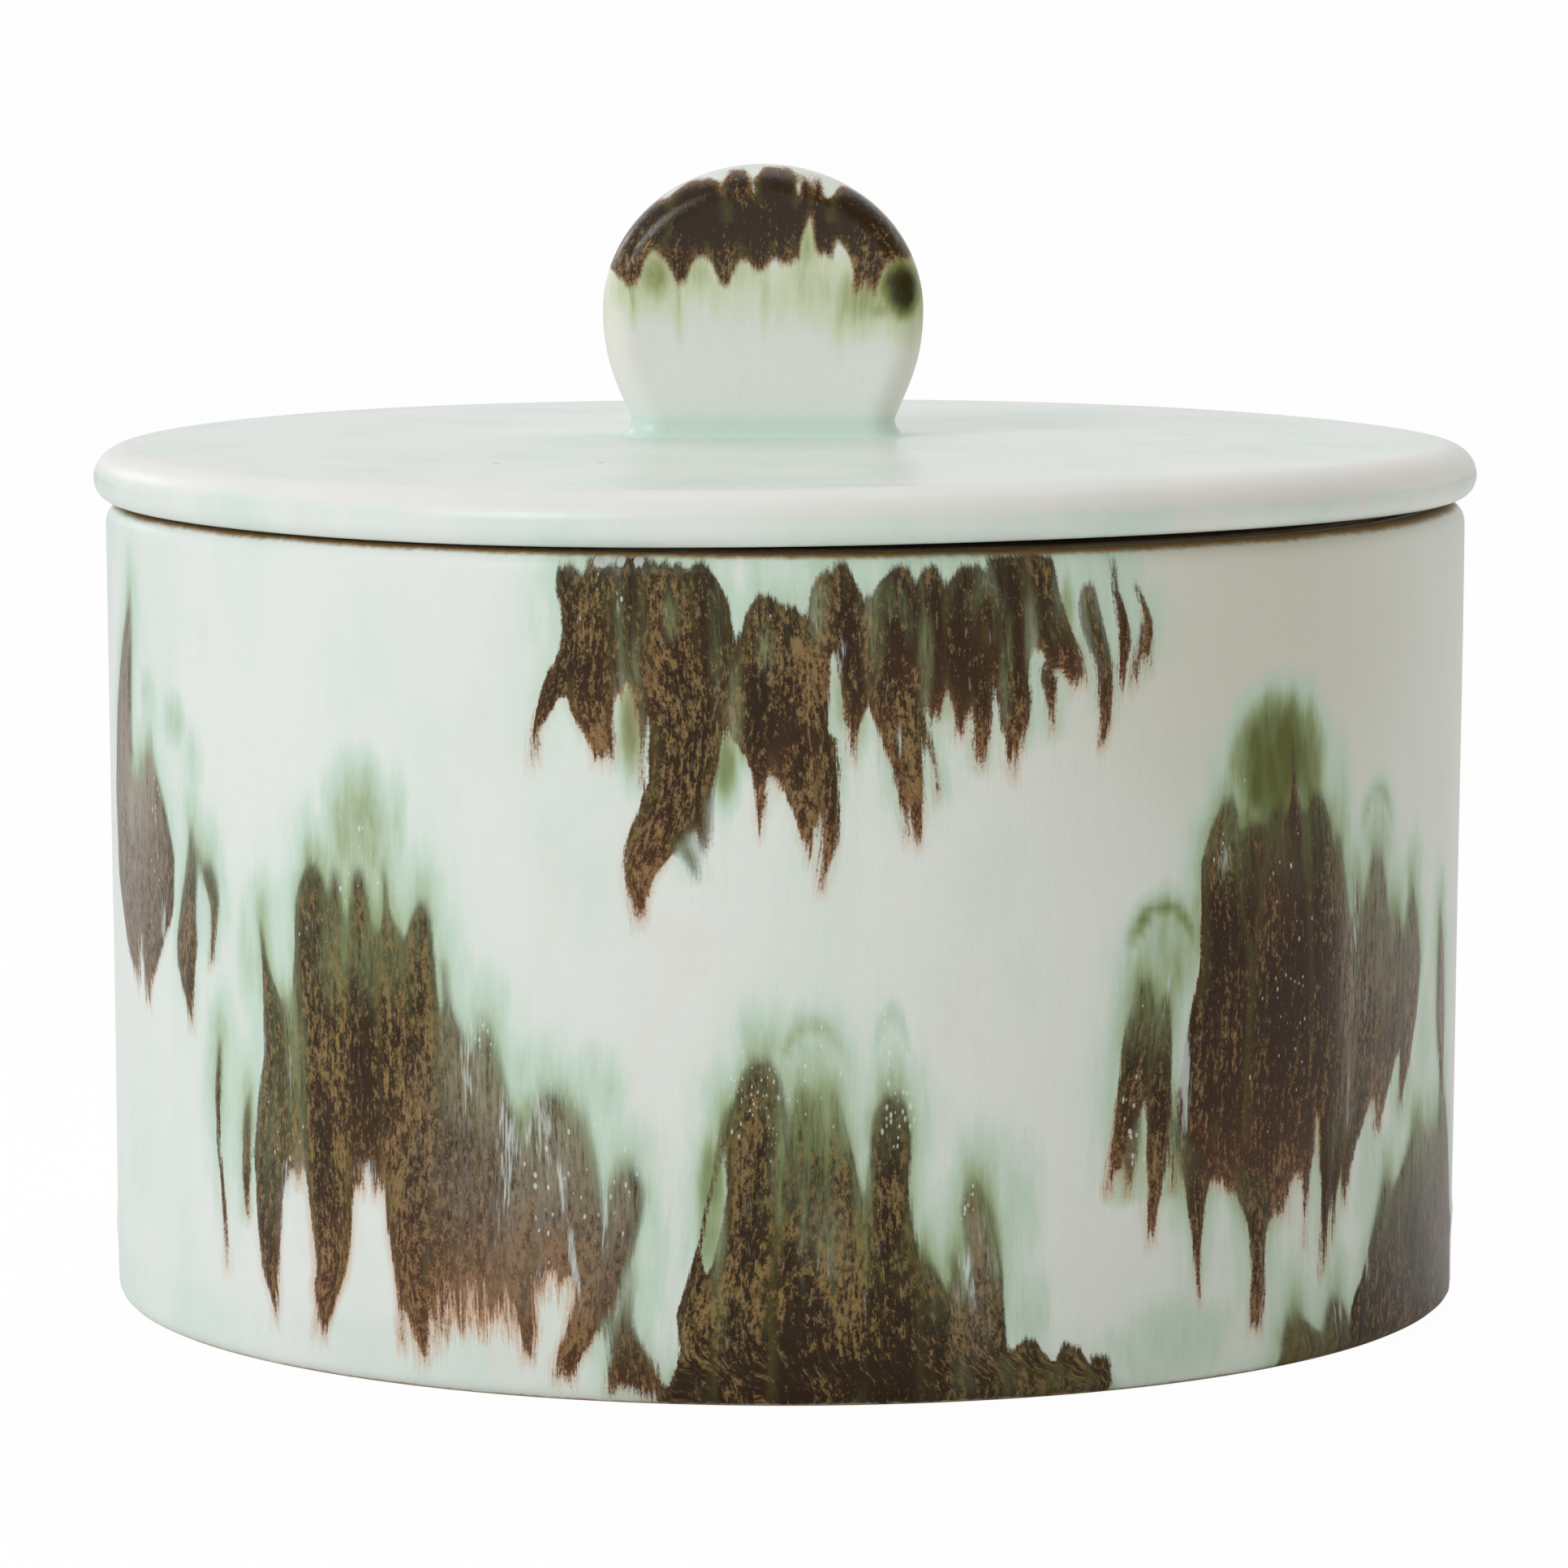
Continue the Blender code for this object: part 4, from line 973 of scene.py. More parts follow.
@dataclass(frozen=True)
class BrownGlaze:
    """Colours of the brown glaze that runs over the pale one."""

    middle: Colour = srgb(104, 84, 54)
    dark: Colour = srgb(36, 22, 12)
    light: Colour = srgb(150, 126, 86)
    gold: Colour = srgb(146, 120, 62)
    olive: Colour = srgb(58, 54, 20)
    moss: Colour = srgb(86, 82, 42)
    plum: Colour = srgb(80, 60, 48)
    russet: Colour = srgb(132, 92, 62)
    rust: Colour = srgb(150, 94, 58)
    stain: Colour = srgb(204, 166, 134)
    smoke: Colour = srgb(138, 118, 104)
    haze: Colour = srgb(166, 158, 144)
    # Colour of the milky streaks, and of the painted highlights at the rim's shoulder
    milk: Colour = srgb(206, 218, 216)
    bubble: Colour = srgb(232, 236, 230)

    GIVEN = {"Place": "Vector", "Ground": "Color", "Pale Green": "Color", "Green": "Color",
             "Deep Green": "Color", "Outline": "Color", "Ragged": "Float", "Rusting": "Float"}
    LAID = ("Run", "Head", "Tip", "Fade", "Tone", "Seam", "Halo", "Milk", "Gold", "Smoke", "Bubble", "Thin",
            "Dark", "Rust")

    def group(self) -> bpy.types.NodeTree:
        """Builds the node group that lays the brown glaze over a ground colour.

        Returns:
            The group, whose outputs are a colour, the brown's cover and the height of its surface.
        """
        sockets = {**self.GIVEN, **{name: "Float" for name in self.LAID}}
        net, given, result = new_group(
            "brown_glaze_runs", sockets, {"Color": "Color", "Cover": "Float", "Height": "Float"}
        )
        place, head, tip, halo, milk, smoke = (
            given[name] for name in ("Place", "Head", "Tip", "Halo", "Milk", "Smoke")
        )
        streak = net.noise(place, 0.95, 0.10, 4.0, 0.62)
        hair = net.noise(place, 3.4, 0.30, 3.0, 0.6)
        sway = net.noise(place, 0.30, 0.07, 2.0, 0.5)
        grain = net.noise(place, 4.2, 2.6, 3.0, 0.7)
        speck = net.noise(place, 1.7, 0.75, 6.0, 0.75)
        patch = net.noise(place, 0.20, 0.09, 3.0, 0.5)
        worm = net.noise(place, 1.0, 0.40, 6.0, 0.74)
        puff = net.noise(place, 0.55, 0.16, 3.0, 0.5)
        hue = net.noise(place, 0.36, 0.10, 3.0, 0.55)

        uneven = net.total((streak, 1.6), sway, (hair, 1.2), (grain, 1.0))
        uneven = net.times(uneven, net.scaled(tip, 0.7, 0.5))
        combing = net.times(net.times(tip, smoke), net.scaled(hair, 6.0))
        edge = net.total(net.scaled(uneven, given["Ragged"], given["Run"]), combing)
        soft = net.total(net.scaled(head, 0.9, 0.12), (tip, 0.2), (smoke, 0.4))
        cover = net.rise(edge, net.scaled(soft, -1.0), soft)
        veil = net.total((given["Fade"], 0.75), (given["Thin"], 0.7), (smoke, 0.22))
        combed = net.total(net.scaled(streak, 3.6, 1.0), (hair, 3.4), (grain, 1.2))
        veil = net.math("MINIMUM", net.scaled(veil, combed, -0.05), 0.8)
        cover = net.times(cover, net.flipped(net.math("MAXIMUM", veil, 0.0)))

        loose = net.total((puff, 1.0), (streak, 0.45), (hair, 0.3), (grain, 0.15))
        wash = net.total(halo, (loose, net.math("MINIMUM", net.scaled(halo, 2.0), 0.5)))
        ground = net.mix(net.rise(wash, 0.02, 0.45), given["Ground"], given["Pale Green"])
        ground = net.mix(net.rise(wash, 0.36, 0.95), ground, given["Green"])
        ground = net.mix(net.rise(wash, 0.70, 1.30), ground, given["Deep Green"])
        rusty = net.total(net.times(tip, given["Rusting"]), given["Rust"])
        stained = net.total(net.times(tip, net.scaled(given["Rusting"], 0.4)), (given["Rust"], 0.85))
        below = net.flipped(net.math("MULTIPLY", head, 4.0, True))
        stained = net.times(stained, below)
        ground = net.mix(net.times(net.rise(edge, -1.2, 0.0), stained), ground, self.stain)
        translucent = net.mix(0.4, given["Deep Green"], given["Green"])
        beneath = net.mix(net.capped(smoke), translucent, self.haze)
        ground = net.mix(net.scaled(net.rise(edge, 0.0, 1.2), 0.95), ground, beneath)

        level = net.total((speck, 1.3), (grain, 0.6), (patch, 0.4), (streak, 0.35), (hair, 0.4),
                          net.scaled(given["Tone"], 0.1, -0.05), (given["Dark"], 0.11))
        body = net.mix(net.scaled(net.rise(hue, 0.0, 0.15), 0.45), self.middle, self.plum)
        body = net.mix(net.scaled(net.rise(hue, 0.0, -0.15), 0.5), body, self.moss)
        body = net.mix(net.capped(net.scaled(rusty, 1.1)), body, self.russet)
        body = net.mix(net.scaled(net.rise(level, 0.0, -0.22), 0.75), body, self.light)
        rough_edge = net.total(edge, (grain, 1.6))
        outer = net.flipped(net.rise(rough_edge, 0.4, 3.2))
        body = net.mix(net.scaled(outer, 0.2), body, self.light)
        body = net.mix(net.math("MULTIPLY", head, 1.3, True), body, self.olive)
        flecks = net.rise(net.total(worm, (grain, 0.8)), -0.02, 0.09)
        body = net.mix(net.times(flecks, net.scaled(given["Gold"], 0.85)), body, self.gold)
        body = net.mix(net.scaled(net.capped(smoke), 0.6), body, self.smoke)
        brown = net.mix(net.scaled(net.rise(level, -0.085, 0.075), 0.93), body, self.dark)
        greyed = net.times(smoke, net.rise(net.total(streak, (hair, 0.8)), -0.12, 0.12))
        brown = net.mix(net.scaled(greyed, 0.45), brown, self.smoke)
        brown = net.mix(net.scaled(given["Seam"], 0.55), brown, self.moss)
        brown = net.mix(net.scaled(head, 0.35), brown, self.olive)
        brown = net.mix(net.scaled(rusty, 0.22), brown, self.russet)
        outline = net.flipped(net.rise(rough_edge, 0.0, 0.55))
        edging = net.times(net.capped(net.scaled(rusty, 1.6)), below)
        edging = net.mix(edging, given["Outline"], self.rust)
        brown = net.mix(net.scaled(outline, 0.6), brown, edging)

        colour_now = net.mix(cover, ground, brown)
        # Milky streaks, and painted highlights at the rim's shoulder, both mixed towards the milk colour
        milk_and_sheen_mask = net.rise(net.total(milk, (streak, 0.7), (hair, 1.8)), 0.48, 0.98)
        milk_and_sheen_mask = net.times(milk_and_sheen_mask, net.rise(milk, 0.02, 0.2))
        colour_now = net.mix(net.scaled(milk_and_sheen_mask, 0.75), colour_now, self.milk)
        foam = net.math("POWER", given["Bubble"], 2.2)
        spots = net.dots(place, 2.3, 1.1, 0.40, net.scaled(foam, 0.9))
        colour_now = net.mix(net.scaled(spots, 0.6), colour_now, self.bubble)

        height = net.total((net.rise(edge, -0.3, 0.7), 0.1), (speck, 0.05), (streak, 0.06), (spots, 0.03))
        net.put(result["Color"], colour_now)
        net.put(result["Cover"], cover)
        net.put(result["Height"], height)
        return net.tree


@dataclass(frozen=True)
class PaleGlaze:
    """Colours of the pale mint glaze."""

    base: Colour = srgb(229, 235, 231)
    mint: Colour = srgb(206, 227, 217)
    warm: Colour = srgb(230, 226, 220)
    speck: Colour = srgb(88, 74, 58)
    pin: Colour = srgb(244, 246, 242)

    def group(self) -> bpy.types.NodeTree:
        """Builds the node group for the pale glaze.

        Returns:
            The group, whose outputs are a colour and the height of its surface.
        """
        net, given, result = new_group(
            "pale_glaze", {"Place": "Vector", "Mint": "Float"}, {"Color": "Color", "Height": "Float"}
        )
        place = given["Place"]
        cloud = net.noise(place, 0.06, 0.035, 4.0, 0.55)
        streak = net.noise(place, 0.5, 0.06, 4.0, 0.6)
        fine = net.noise(place, 2.2, 1.6, 4.0, 0.65)
        minty = net.total(given["Mint"], net.times(cloud, 1.6), net.times(streak, 0.12))
        colour_now = net.mix(net.rise(minty, -0.1, 0.75), self.base, self.mint)
        warm = net.times(net.rise(net.noise(place, 0.11, 0.05, 4.0, 0.6), 0.06, 0.22), 0.5)
        colour_now = net.mix(warm, colour_now, self.warm)
        colour_now = net.mix(net.times(net.rise(fine, 0.04, 0.3), 0.18), colour_now, self.mint)
        specks = net.dots(place, 0.11, 0.11, 0.018, 0.12)
        colour_now = net.mix(net.scaled(specks, 0.8), colour_now, self.speck)
        pins = net.dots(place, 0.33, 0.28, 0.05, 0.35)
        colour_now = net.mix(net.times(pins, 0.6), colour_now, self.pin)
        net.put(result["Color"], colour_now)
        net.put(result["Height"], net.total(net.times(fine, 0.02), net.times(streak, 0.03)))
        return net.tree


class Finish(Enum):
    """The fired surfaces of the jar."""

    WALL = "jar_wall_glaze"
    LID = "lid_pale_glaze"
    KNOB = "knob_glaze"
    CLAY = "bare_fired_clay"


@dataclass
class Kiln:
    """Makes the materials, which share the two glaze groups. Its lengths are millimetres."""

    brown: BrownGlaze = field(default_factory=BrownGlaze)
    pale: PaleGlaze = field(default_factory=PaleGlaze)
    pale_roughness: float = 0.34
    brown_roughness: float = 0.25
    shine: float = 0.32
    wall_shine: float = 0.17
    clay: Colour = srgb(196, 176, 146)
    flash: Colour = srgb(178, 148, 112)
    grit: Colour = srgb(132, 108, 82)
    iron: Colour = srgb(150, 115, 62)
    pool: Colour = srgb(212, 238, 227)
    cream: Colour = srgb(240, 234, 222)
    # Painted light for the knob's lower front
    painted_fill_light: Colour = srgb(244, 250, 245)
    greens: Tuple[Colour, ...] = (srgb(199, 221, 206), srgb(156, 175, 132), srgb(94, 100, 44))
    knob_greens: Tuple[Colour, ...] = (srgb(212, 222, 192), srgb(148, 158, 96), srgb(46, 42, 6))
    outline: Colour = srgb(64, 42, 26)
    amber: Colour = srgb(150, 104, 52)
    worn: Colour = srgb(235, 232, 231)
    # Painted warm shade for the upper right of the wall
    painted_warm_shade: Colour = srgb(219, 220, 210)
    knob_shift: float = 2.6
    knob_reach: float = 14.0
    knob_depth: float = 4.5
    outer_from: float = 77.0
    outer_to: float = 78.0
    specks: Tuple[Place, ...] = ((-33, -41, 0.45), (-21, -41, 0.5), (-19, -4, 0.6))

    def __post_init__(self) -> None:
        """Builds the shared groups."""
        self.brown_group = self.brown.group()
        self.pale_group = self.pale.group()

    def start(self, finish: Finish) -> Tuple[bpy.types.Material, Net, bpy.types.Node, bpy.types.NodeSocket]:
        """Starts a material.

        Args:
            finish: Which surface it is for.

        Returns:
            The material, its net, its shader and the place in millimetres.
        """
        material = bpy.data.materials.new(finish.value)
        material.use_nodes = True
        net = Net(material.node_tree)
        shader = material.node_tree.nodes["Principled BSDF"]
        shader.inputs["Specular IOR Level"].default_value = self.shine
        place = net.stretch(net.node("ShaderNodeTexCoord").outputs["Object"], 1.0 / MM, 1.0 / MM)
        return material, net, shader, place

    def use(self, net: Net, tree: bpy.types.NodeTree, **values: Value) -> bpy.types.Node:
        """Places a group in a material with its own values."""
        made = net.node("ShaderNodeGroup", node_tree=tree)
        for name, value in values.items():
            net.put(made.inputs[name], value)
        return made

    def attribute(self, net: Net, name: str) -> bpy.types.NodeSocket:
        """Reads a value that the mesh keeps for each point."""
        return net.node("ShaderNodeAttribute", attribute_name=name).outputs["Fac"]

    def fire(self, net: Net, shader: bpy.types.Node, colour: Value, rough: Value, height: Value) -> None:
        """Gives a shader its colour, its roughness and its relief in millimetres."""
        net.put(shader.inputs["Base Color"], colour)
        net.put(shader.inputs["Roughness"], rough)
        made = net.node("ShaderNodeBump")
        made.inputs["Strength"].default_value = 0.8
        made.inputs["Distance"].default_value = MM
        net.put(made.inputs["Height"], height)
        net.put(shader.inputs["Normal"], made.outputs["Normal"])

    def runs_over(self, net: Net, ground: Value, greens: Sequence[Colour], outline: Colour, ragged: float,
                  rusting: float) -> bpy.types.Node:
        """Lays the brown glaze over a ground colour, where the piece's attributes say.

        Args:
            net: The material's net.
            ground: Colour of the pale glaze.
            greens: The pale, middle and deep green round the runs.
            outline: Colour of the thin line at the brown's edge.
            ragged: How uneven the outlines are.
            rusting: How rusty the tips are.

        Returns:
            The placed group.
        """
        made = self.use(net, self.brown_group, Ground=ground, Outline=outline, Ragged=ragged,
                        Rusting=rusting)
        flowed = net.node("ShaderNodeAttribute", attribute_name="glaze_place").outputs["Vector"]
        net.put(made.inputs["Place"], flowed)
        for name, green in zip(("Pale Green", "Green", "Deep Green"), greens):
            net.put(made.inputs[name], green)
        for name in self.brown.LAID:
            net.put(made.inputs[name], self.attribute(net, "glaze_" + name.lower()))
        return made

    def wall(self, rim_height: float) -> bpy.types.Material:
        """Glaze of the pot: pale with brown runs, an iron line under the rim and a bare foot.

        Args:
            rim_height: Height of the rim in millimetres.

        Returns:
            The material.
        """
        material, net, shader, place = self.start(Finish.WALL)
        shader.inputs["Specular IOR Level"].default_value = self.wall_shine
        level = net.parts(place)["Z"]
        wander = net.noise(place, 0.12, 0.12, 3.0, 0.6)
        ragged = net.noise(place, 0.9, 0.9, 4.0, 0.6)
        band = net.flipped(net.rise(net.total(level, net.times(wander, 3.0)), 6.4, 8.2))
        mint = net.times(band, 0.14)
        pale = self.use(net, self.pale_group, Place=place, Mint=mint)
        # Painted warm shade over the pale ground at the upper right
        ground = net.mix(self.attribute(net, BloomKind.PAINTED_SHADE.value), pale.outputs["Color"], self.painted_warm_shade)
        brown = self.runs_over(net, ground, self.greens, self.outline, 1.0, 1.0)
        colour_now = brown.outputs["Color"]
        near_rim = net.total(level, net.times(ragged, 0.5), net.times(wander, 0.5))
        iron = net.rise(near_rim, rim_height - 0.75, rim_height - 0.15)
        radius = net.space("LENGTH", net.stretch(place, 1.0, 0.0))["Value"]
        outside = net.rise(radius, self.outer_from, self.outer_to)
        colour_now = net.mix(net.times(iron, outside), colour_now, self.iron)
        near_foot = net.total(level, net.times(ragged, 0.7), net.times(wander, 0.6))
        bare = net.flipped(net.rise(near_foot, 0.25, 0.5))
        colour_now = net.mix(bare, colour_now, self.clay)
        glossier = self.brown_roughness - self.pale_roughness
        rough = net.scaled(brown.outputs["Cover"], glossier, self.pale_roughness)
        rough = net.math("MAXIMUM", rough, net.times(bare, 0.8))
        height = net.total(brown.outputs["Height"], pale.outputs["Height"])
        self.fire(net, shader, colour_now, rough, height)
        return material

    def lid(self, worn_from: float, worn_to: float) -> bpy.types.Material:
        """Glaze of the lid: pale mint, worn thin along its upper edge.

        Args:
            worn_from: Radius in millimetres where the worn band starts.
            worn_to: Height where it ends on the rounded edge.

        Returns:
            The material.
        """
        material, net, shader, place = self.start(Finish.LID)
        split = net.parts(place)
        flat = net.stretch(place, 1.0, 0.0)
        ragged = net.noise(place, 0.8, 0.8, 4.0, 0.65)
        wander = net.noise(place, 0.10, 0.10, 3.0, 0.6)
        out = net.total(net.space("LENGTH", flat)["Value"], (ragged, 2.4), (wander, 4.0))
        level = net.total(split["Z"], (ragged, 0.6), (wander, 1.2))
        under = net.flipped(net.rise(level, worn_to - 0.7, worn_to + 0.3))
        band = net.times(net.rise(out, worn_from - 1.2, worn_from + 1.0), net.flipped(under))
        pale = self.use(net, self.pale_group, Place=place, Mint=net.scaled(under, 0.06, 0.12))
        colour_now = net.mix(net.scaled(band, 0.65), pale.outputs["Color"], self.worn)
        across = net.math("ABSOLUTE", net.scaled(split["X"], 1.0, self.knob_shift))
        across = net.scaled(net.math("MAXIMUM", across, self.knob_reach), 1.0, -self.knob_reach)
        along = net.math("MAXIMUM", net.math("ABSOLUTE", split["Y"]), self.knob_depth)
        along = net.scaled(along, 1.0, -self.knob_depth)
        beside = net.math("ADD", net.math("POWER", across, 2.0), net.math("POWER", along, 2.0))
        beside = net.math("SQRT", beside)
        beside = net.rise(net.total(beside, (ragged, 1.0)), 6.0, 2.0)
        colour_now = net.mix(net.scaled(beside, 0.8), colour_now, self.pool)
        for side, back, size in self.specks:
            away = net.space("DISTANCE", flat, (side, back, 0.0))["Value"]
            inside = net.rise(net.total(away, (ragged, 0.6)), size, 0.5 * size)
            colour_now = net.mix(net.scaled(inside, 0.85), colour_now, self.pale.speck)
        self.fire(net, shader, colour_now, net.scaled(band, 0.12, 0.27), pale.outputs["Height"])
        return material

    def knob(self, foot_height: float) -> bpy.types.Material:
        """Glaze of the knob: brown over the top, green below, pooled where it meets the lid, with painted
        light lifting its lower part.

        Args:
            foot_height: Height of the knob's foot in millimetres.

        Returns:
            The material.
        """
        material, net, shader, place = self.start(Finish.KNOB)
        split = net.parts(place)
        pale = self.use(net, self.pale_group, Place=place, Mint=-0.06)
        thin = net.rise(net.math("ABSOLUTE", net.scaled(split["X"], 1.0, self.knob_shift)), 13.5, 18.0)
        ground = net.mix(net.scaled(thin, 0.8), pale.outputs["Color"], self.cream)
        pooled = net.flipped(net.rise(split["Z"], foot_height + 2.0, foot_height + 3.4))
        # Painted light: the lowest millimetres of the knob are lightened towards near-white, against the
        # shade that the lid and the fillet leave there
        lower = net.rise(split["Z"], foot_height + 16.0, foot_height + 3.0)
        ground = net.mix(net.scaled(lower, 0.5), ground, self.painted_fill_light)
        ground = net.mix(net.scaled(pooled, 0.8), ground, self.pool)
        brown = self.runs_over(net, ground, self.knob_greens, self.amber, 0.35, 0.15)
        rough = net.scaled(brown.outputs["Cover"], -0.10, 0.28)
        height = net.total(brown.outputs["Height"], pale.outputs["Height"])
        self.fire(net, shader, brown.outputs["Color"], rough, height)
        return material

    def bare(self) -> bpy.types.Material:
        """Bare fired clay of the locating ring, sandy and matt."""
        material, net, shader, place = self.start(Finish.CLAY)
        grain = net.noise(place, 2.5, 2.5, 5.0, 0.7)
        flash = net.noise(place, 0.08, 0.08, 3.0, 0.6)
        colour_now = net.mix(net.rise(flash, -0.15, 0.2), self.clay, self.flash)
        colour_now = net.mix(net.times(net.rise(grain, 0.1, 0.2), 0.6), colour_now, self.grit)
        rough = net.math("ADD", net.times(grain, 0.2), 0.8)
        self.fire(net, shader, colour_now, rough, net.times(grain, 0.12))
        return material


@dataclass
class Pot:
    """The pot, from its rim to its foot. Only the height of the roll is in millimetres."""

    shoulder: float = 2.4 * MM
    lip: float = 1.4 * MM
    rim_wall: float = 5.5 * MM
    taper: float = 0.8 * MM
    foot_round: float = 2.0 * MM
    foot_wall: float = 6.0 * MM
    foot_ring: float = 6.2 * MM
    floor_top: float = 8.1 * MM
    floor_corner: float = 6.0 * MM
    recess: float = 1.6 * MM
    recess_slope: float = 2.4 * MM
    front_turn: float = 204.0
    front_steps: int = 11
    back_steps: int = 8
    coarse_steps: int = 6
    wall_rows: int = 76
    run_thickness: float = 0.16 * MM
    roll: float = 0.16 * MM
    roll_height: float = 9.4
    wobble: float = 0.05 * MM

    def __post_init__(self) -> None:
        """Takes the pot's height and radius from its CAD node."""
        low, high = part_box("jar_body")
        self.height = high.z
        self.radius = (high.x - low.x) / 2.0
        self.foot_radius = self.radius - self.taper

    def outer_profile(self) -> List[Point]:
        """Outline from the middle of the rim over the shoulder and down to the foot ring's face."""
        rim_inner = self.radius - self.rim_wall + self.lip
        shoulder_centre = (self.radius - self.shoulder, self.height - self.shoulder)
        foot_centre = (self.foot_radius - self.foot_round, self.foot_round)
        points = [((rim_inner + shoulder_centre[0]) / 2.0, self.height)]
        points += arc(shoulder_centre, (self.shoulder, self.shoulder), 90, 0, 7)
        points += line(points[-1], (self.foot_radius, self.foot_round), self.wall_rows)
        points += arc(foot_centre, (self.foot_round, self.foot_round), 0, -90, 5)[1:]
        points.append((foot_centre[0] - 0.6 * MM, 0.0))
        return points

    def inner_profile(self) -> List[Point]:
        """Outline from the rim down the inside to the middle of the floor."""
        lip_centre = (self.radius - self.rim_wall + self.lip, self.height - self.lip)
        inner_foot = self.foot_radius - self.foot_wall
        corner = (inner_foot - self.floor_corner, self.floor_top + self.floor_corner)
        points = [(lip_centre[0] + 0.3 * MM, self.height)]
        points += arc(lip_centre, (self.lip, self.lip), 90, 180, 5)
        points += line(points[-1], (inner_foot, corner[1]), 14)
        points += arc(corner, (self.floor_corner, self.floor_corner), 0, -90, 6)[1:]
        points += line(points[-1], (0.0, self.floor_top), 8)
        return points

    def under_profile(self) -> List[Point]:
        """Outline of the foot ring's face, its inner slope and the recess under the base."""
        ring_inner = self.foot_radius - self.foot_round - self.foot_ring
        points = [(self.foot_radius - self.foot_round - 1.0 * MM, 0.0), (ring_inner, 0.0)]
        points.append((ring_inner - self.recess_slope, self.recess))
        points += line(points[-1], (0.0, self.recess), 6)
        return points

    def build(self, glaze: GlazeMap, material: bpy.types.Material) -> bpy.types.Object:
        """Makes the pot, lays its glaze and puts it in place of the CAD node.

        Args:
            glaze: The runs and blooms on the wall.
            material: The wall's glaze.

        Returns:
            The finished piece.
        """
        sketch = bmesh.new()
        half = self.front_turn / 2.0
        sectors = ((-half, self.front_turn, self.front_steps, 6),
                   (half, FULL_TURN - self.front_turn, self.back_steps, 5))
        spin_profile(sketch, self.outer_profile(), sectors)
        coarse = ((-180.0, FULL_TURN, self.coarse_steps, 5),)
        spin_profile(sketch, self.inner_profile(), coarse)
        spin_profile(sketch, self.under_profile(), coarse)
        for level in (self.height, 0.0):
            ends = open_loops(sketch, level)
            bmesh.ops.triangle_fill(sketch, edges=ends, use_beauty=True, normal=(0.0, 0.0, 1.0))
        piece = finish_piece(sketch, "jar_body_glazed", 50)
        self.glaze(piece, glaze)
        piece.data.materials.append(material)
        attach(piece, "jar")
        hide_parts("jar_body")
        LOG.info("pot: %d faces", len(piece.data.polygons))
        return piece

    def glaze(self, piece: bpy.types.Object, glaze: GlazeMap) -> None:
        """Lays the glaze's attributes on the wall and gives its runs their thickness.

        Args:
            piece: The pot.
            glaze: The runs and blooms on the wall.
        """
        points = read_points(piece.data)
        radius = np.hypot(points[:, 0], points[:, 1])
        azimuth = np.degrees(np.arctan2(points[:, 0], -points[:, 1]))
        height = points[:, 2] / MM
        outside = (radius > self.radius - 1.45 * self.shoulder) & (height > 0.01)
        depth, drift = glaze.lay(piece, azimuth, height, outside.astype(float))
        turn = np.radians(azimuth)
        source = turn - np.radians(drift / glaze.scale)
        unrolled = self.radius / MM
        places = (unrolled * np.sin(source), -unrolled * np.cos(source), height)
        glaze.store_place(piece, np.column_stack(places))
        wall = smoothstep(0.5, 4.0, height) * smoothstep(95.0, 91.0, height)
        swell = self.run_thickness * smoothstep(-0.2, 1.0, depth)
        waves = np.sin(3 * turn + height * 0.05) + 0.6 * np.sin(7 * turn - height * 0.11)
        swell += self.wobble * wall * waves
        ring = np.exp(-((height - self.roll_height - 0.7 * np.sin(5 * turn)) / 1.5) ** 2)
        swell += self.roll * ring * (0.55 + 0.45 * np.sin(2 * turn - 1.2))
        ends = smoothstep(0.0, 1.2, height) * smoothstep(95.1, 93.6, height)
        swell = np.where(outside, swell * ends, 0.0)
        points[:, 0] += np.sin(turn) * swell
        points[:, 1] -= np.cos(turn) * swell
        write_points(piece.data, points)


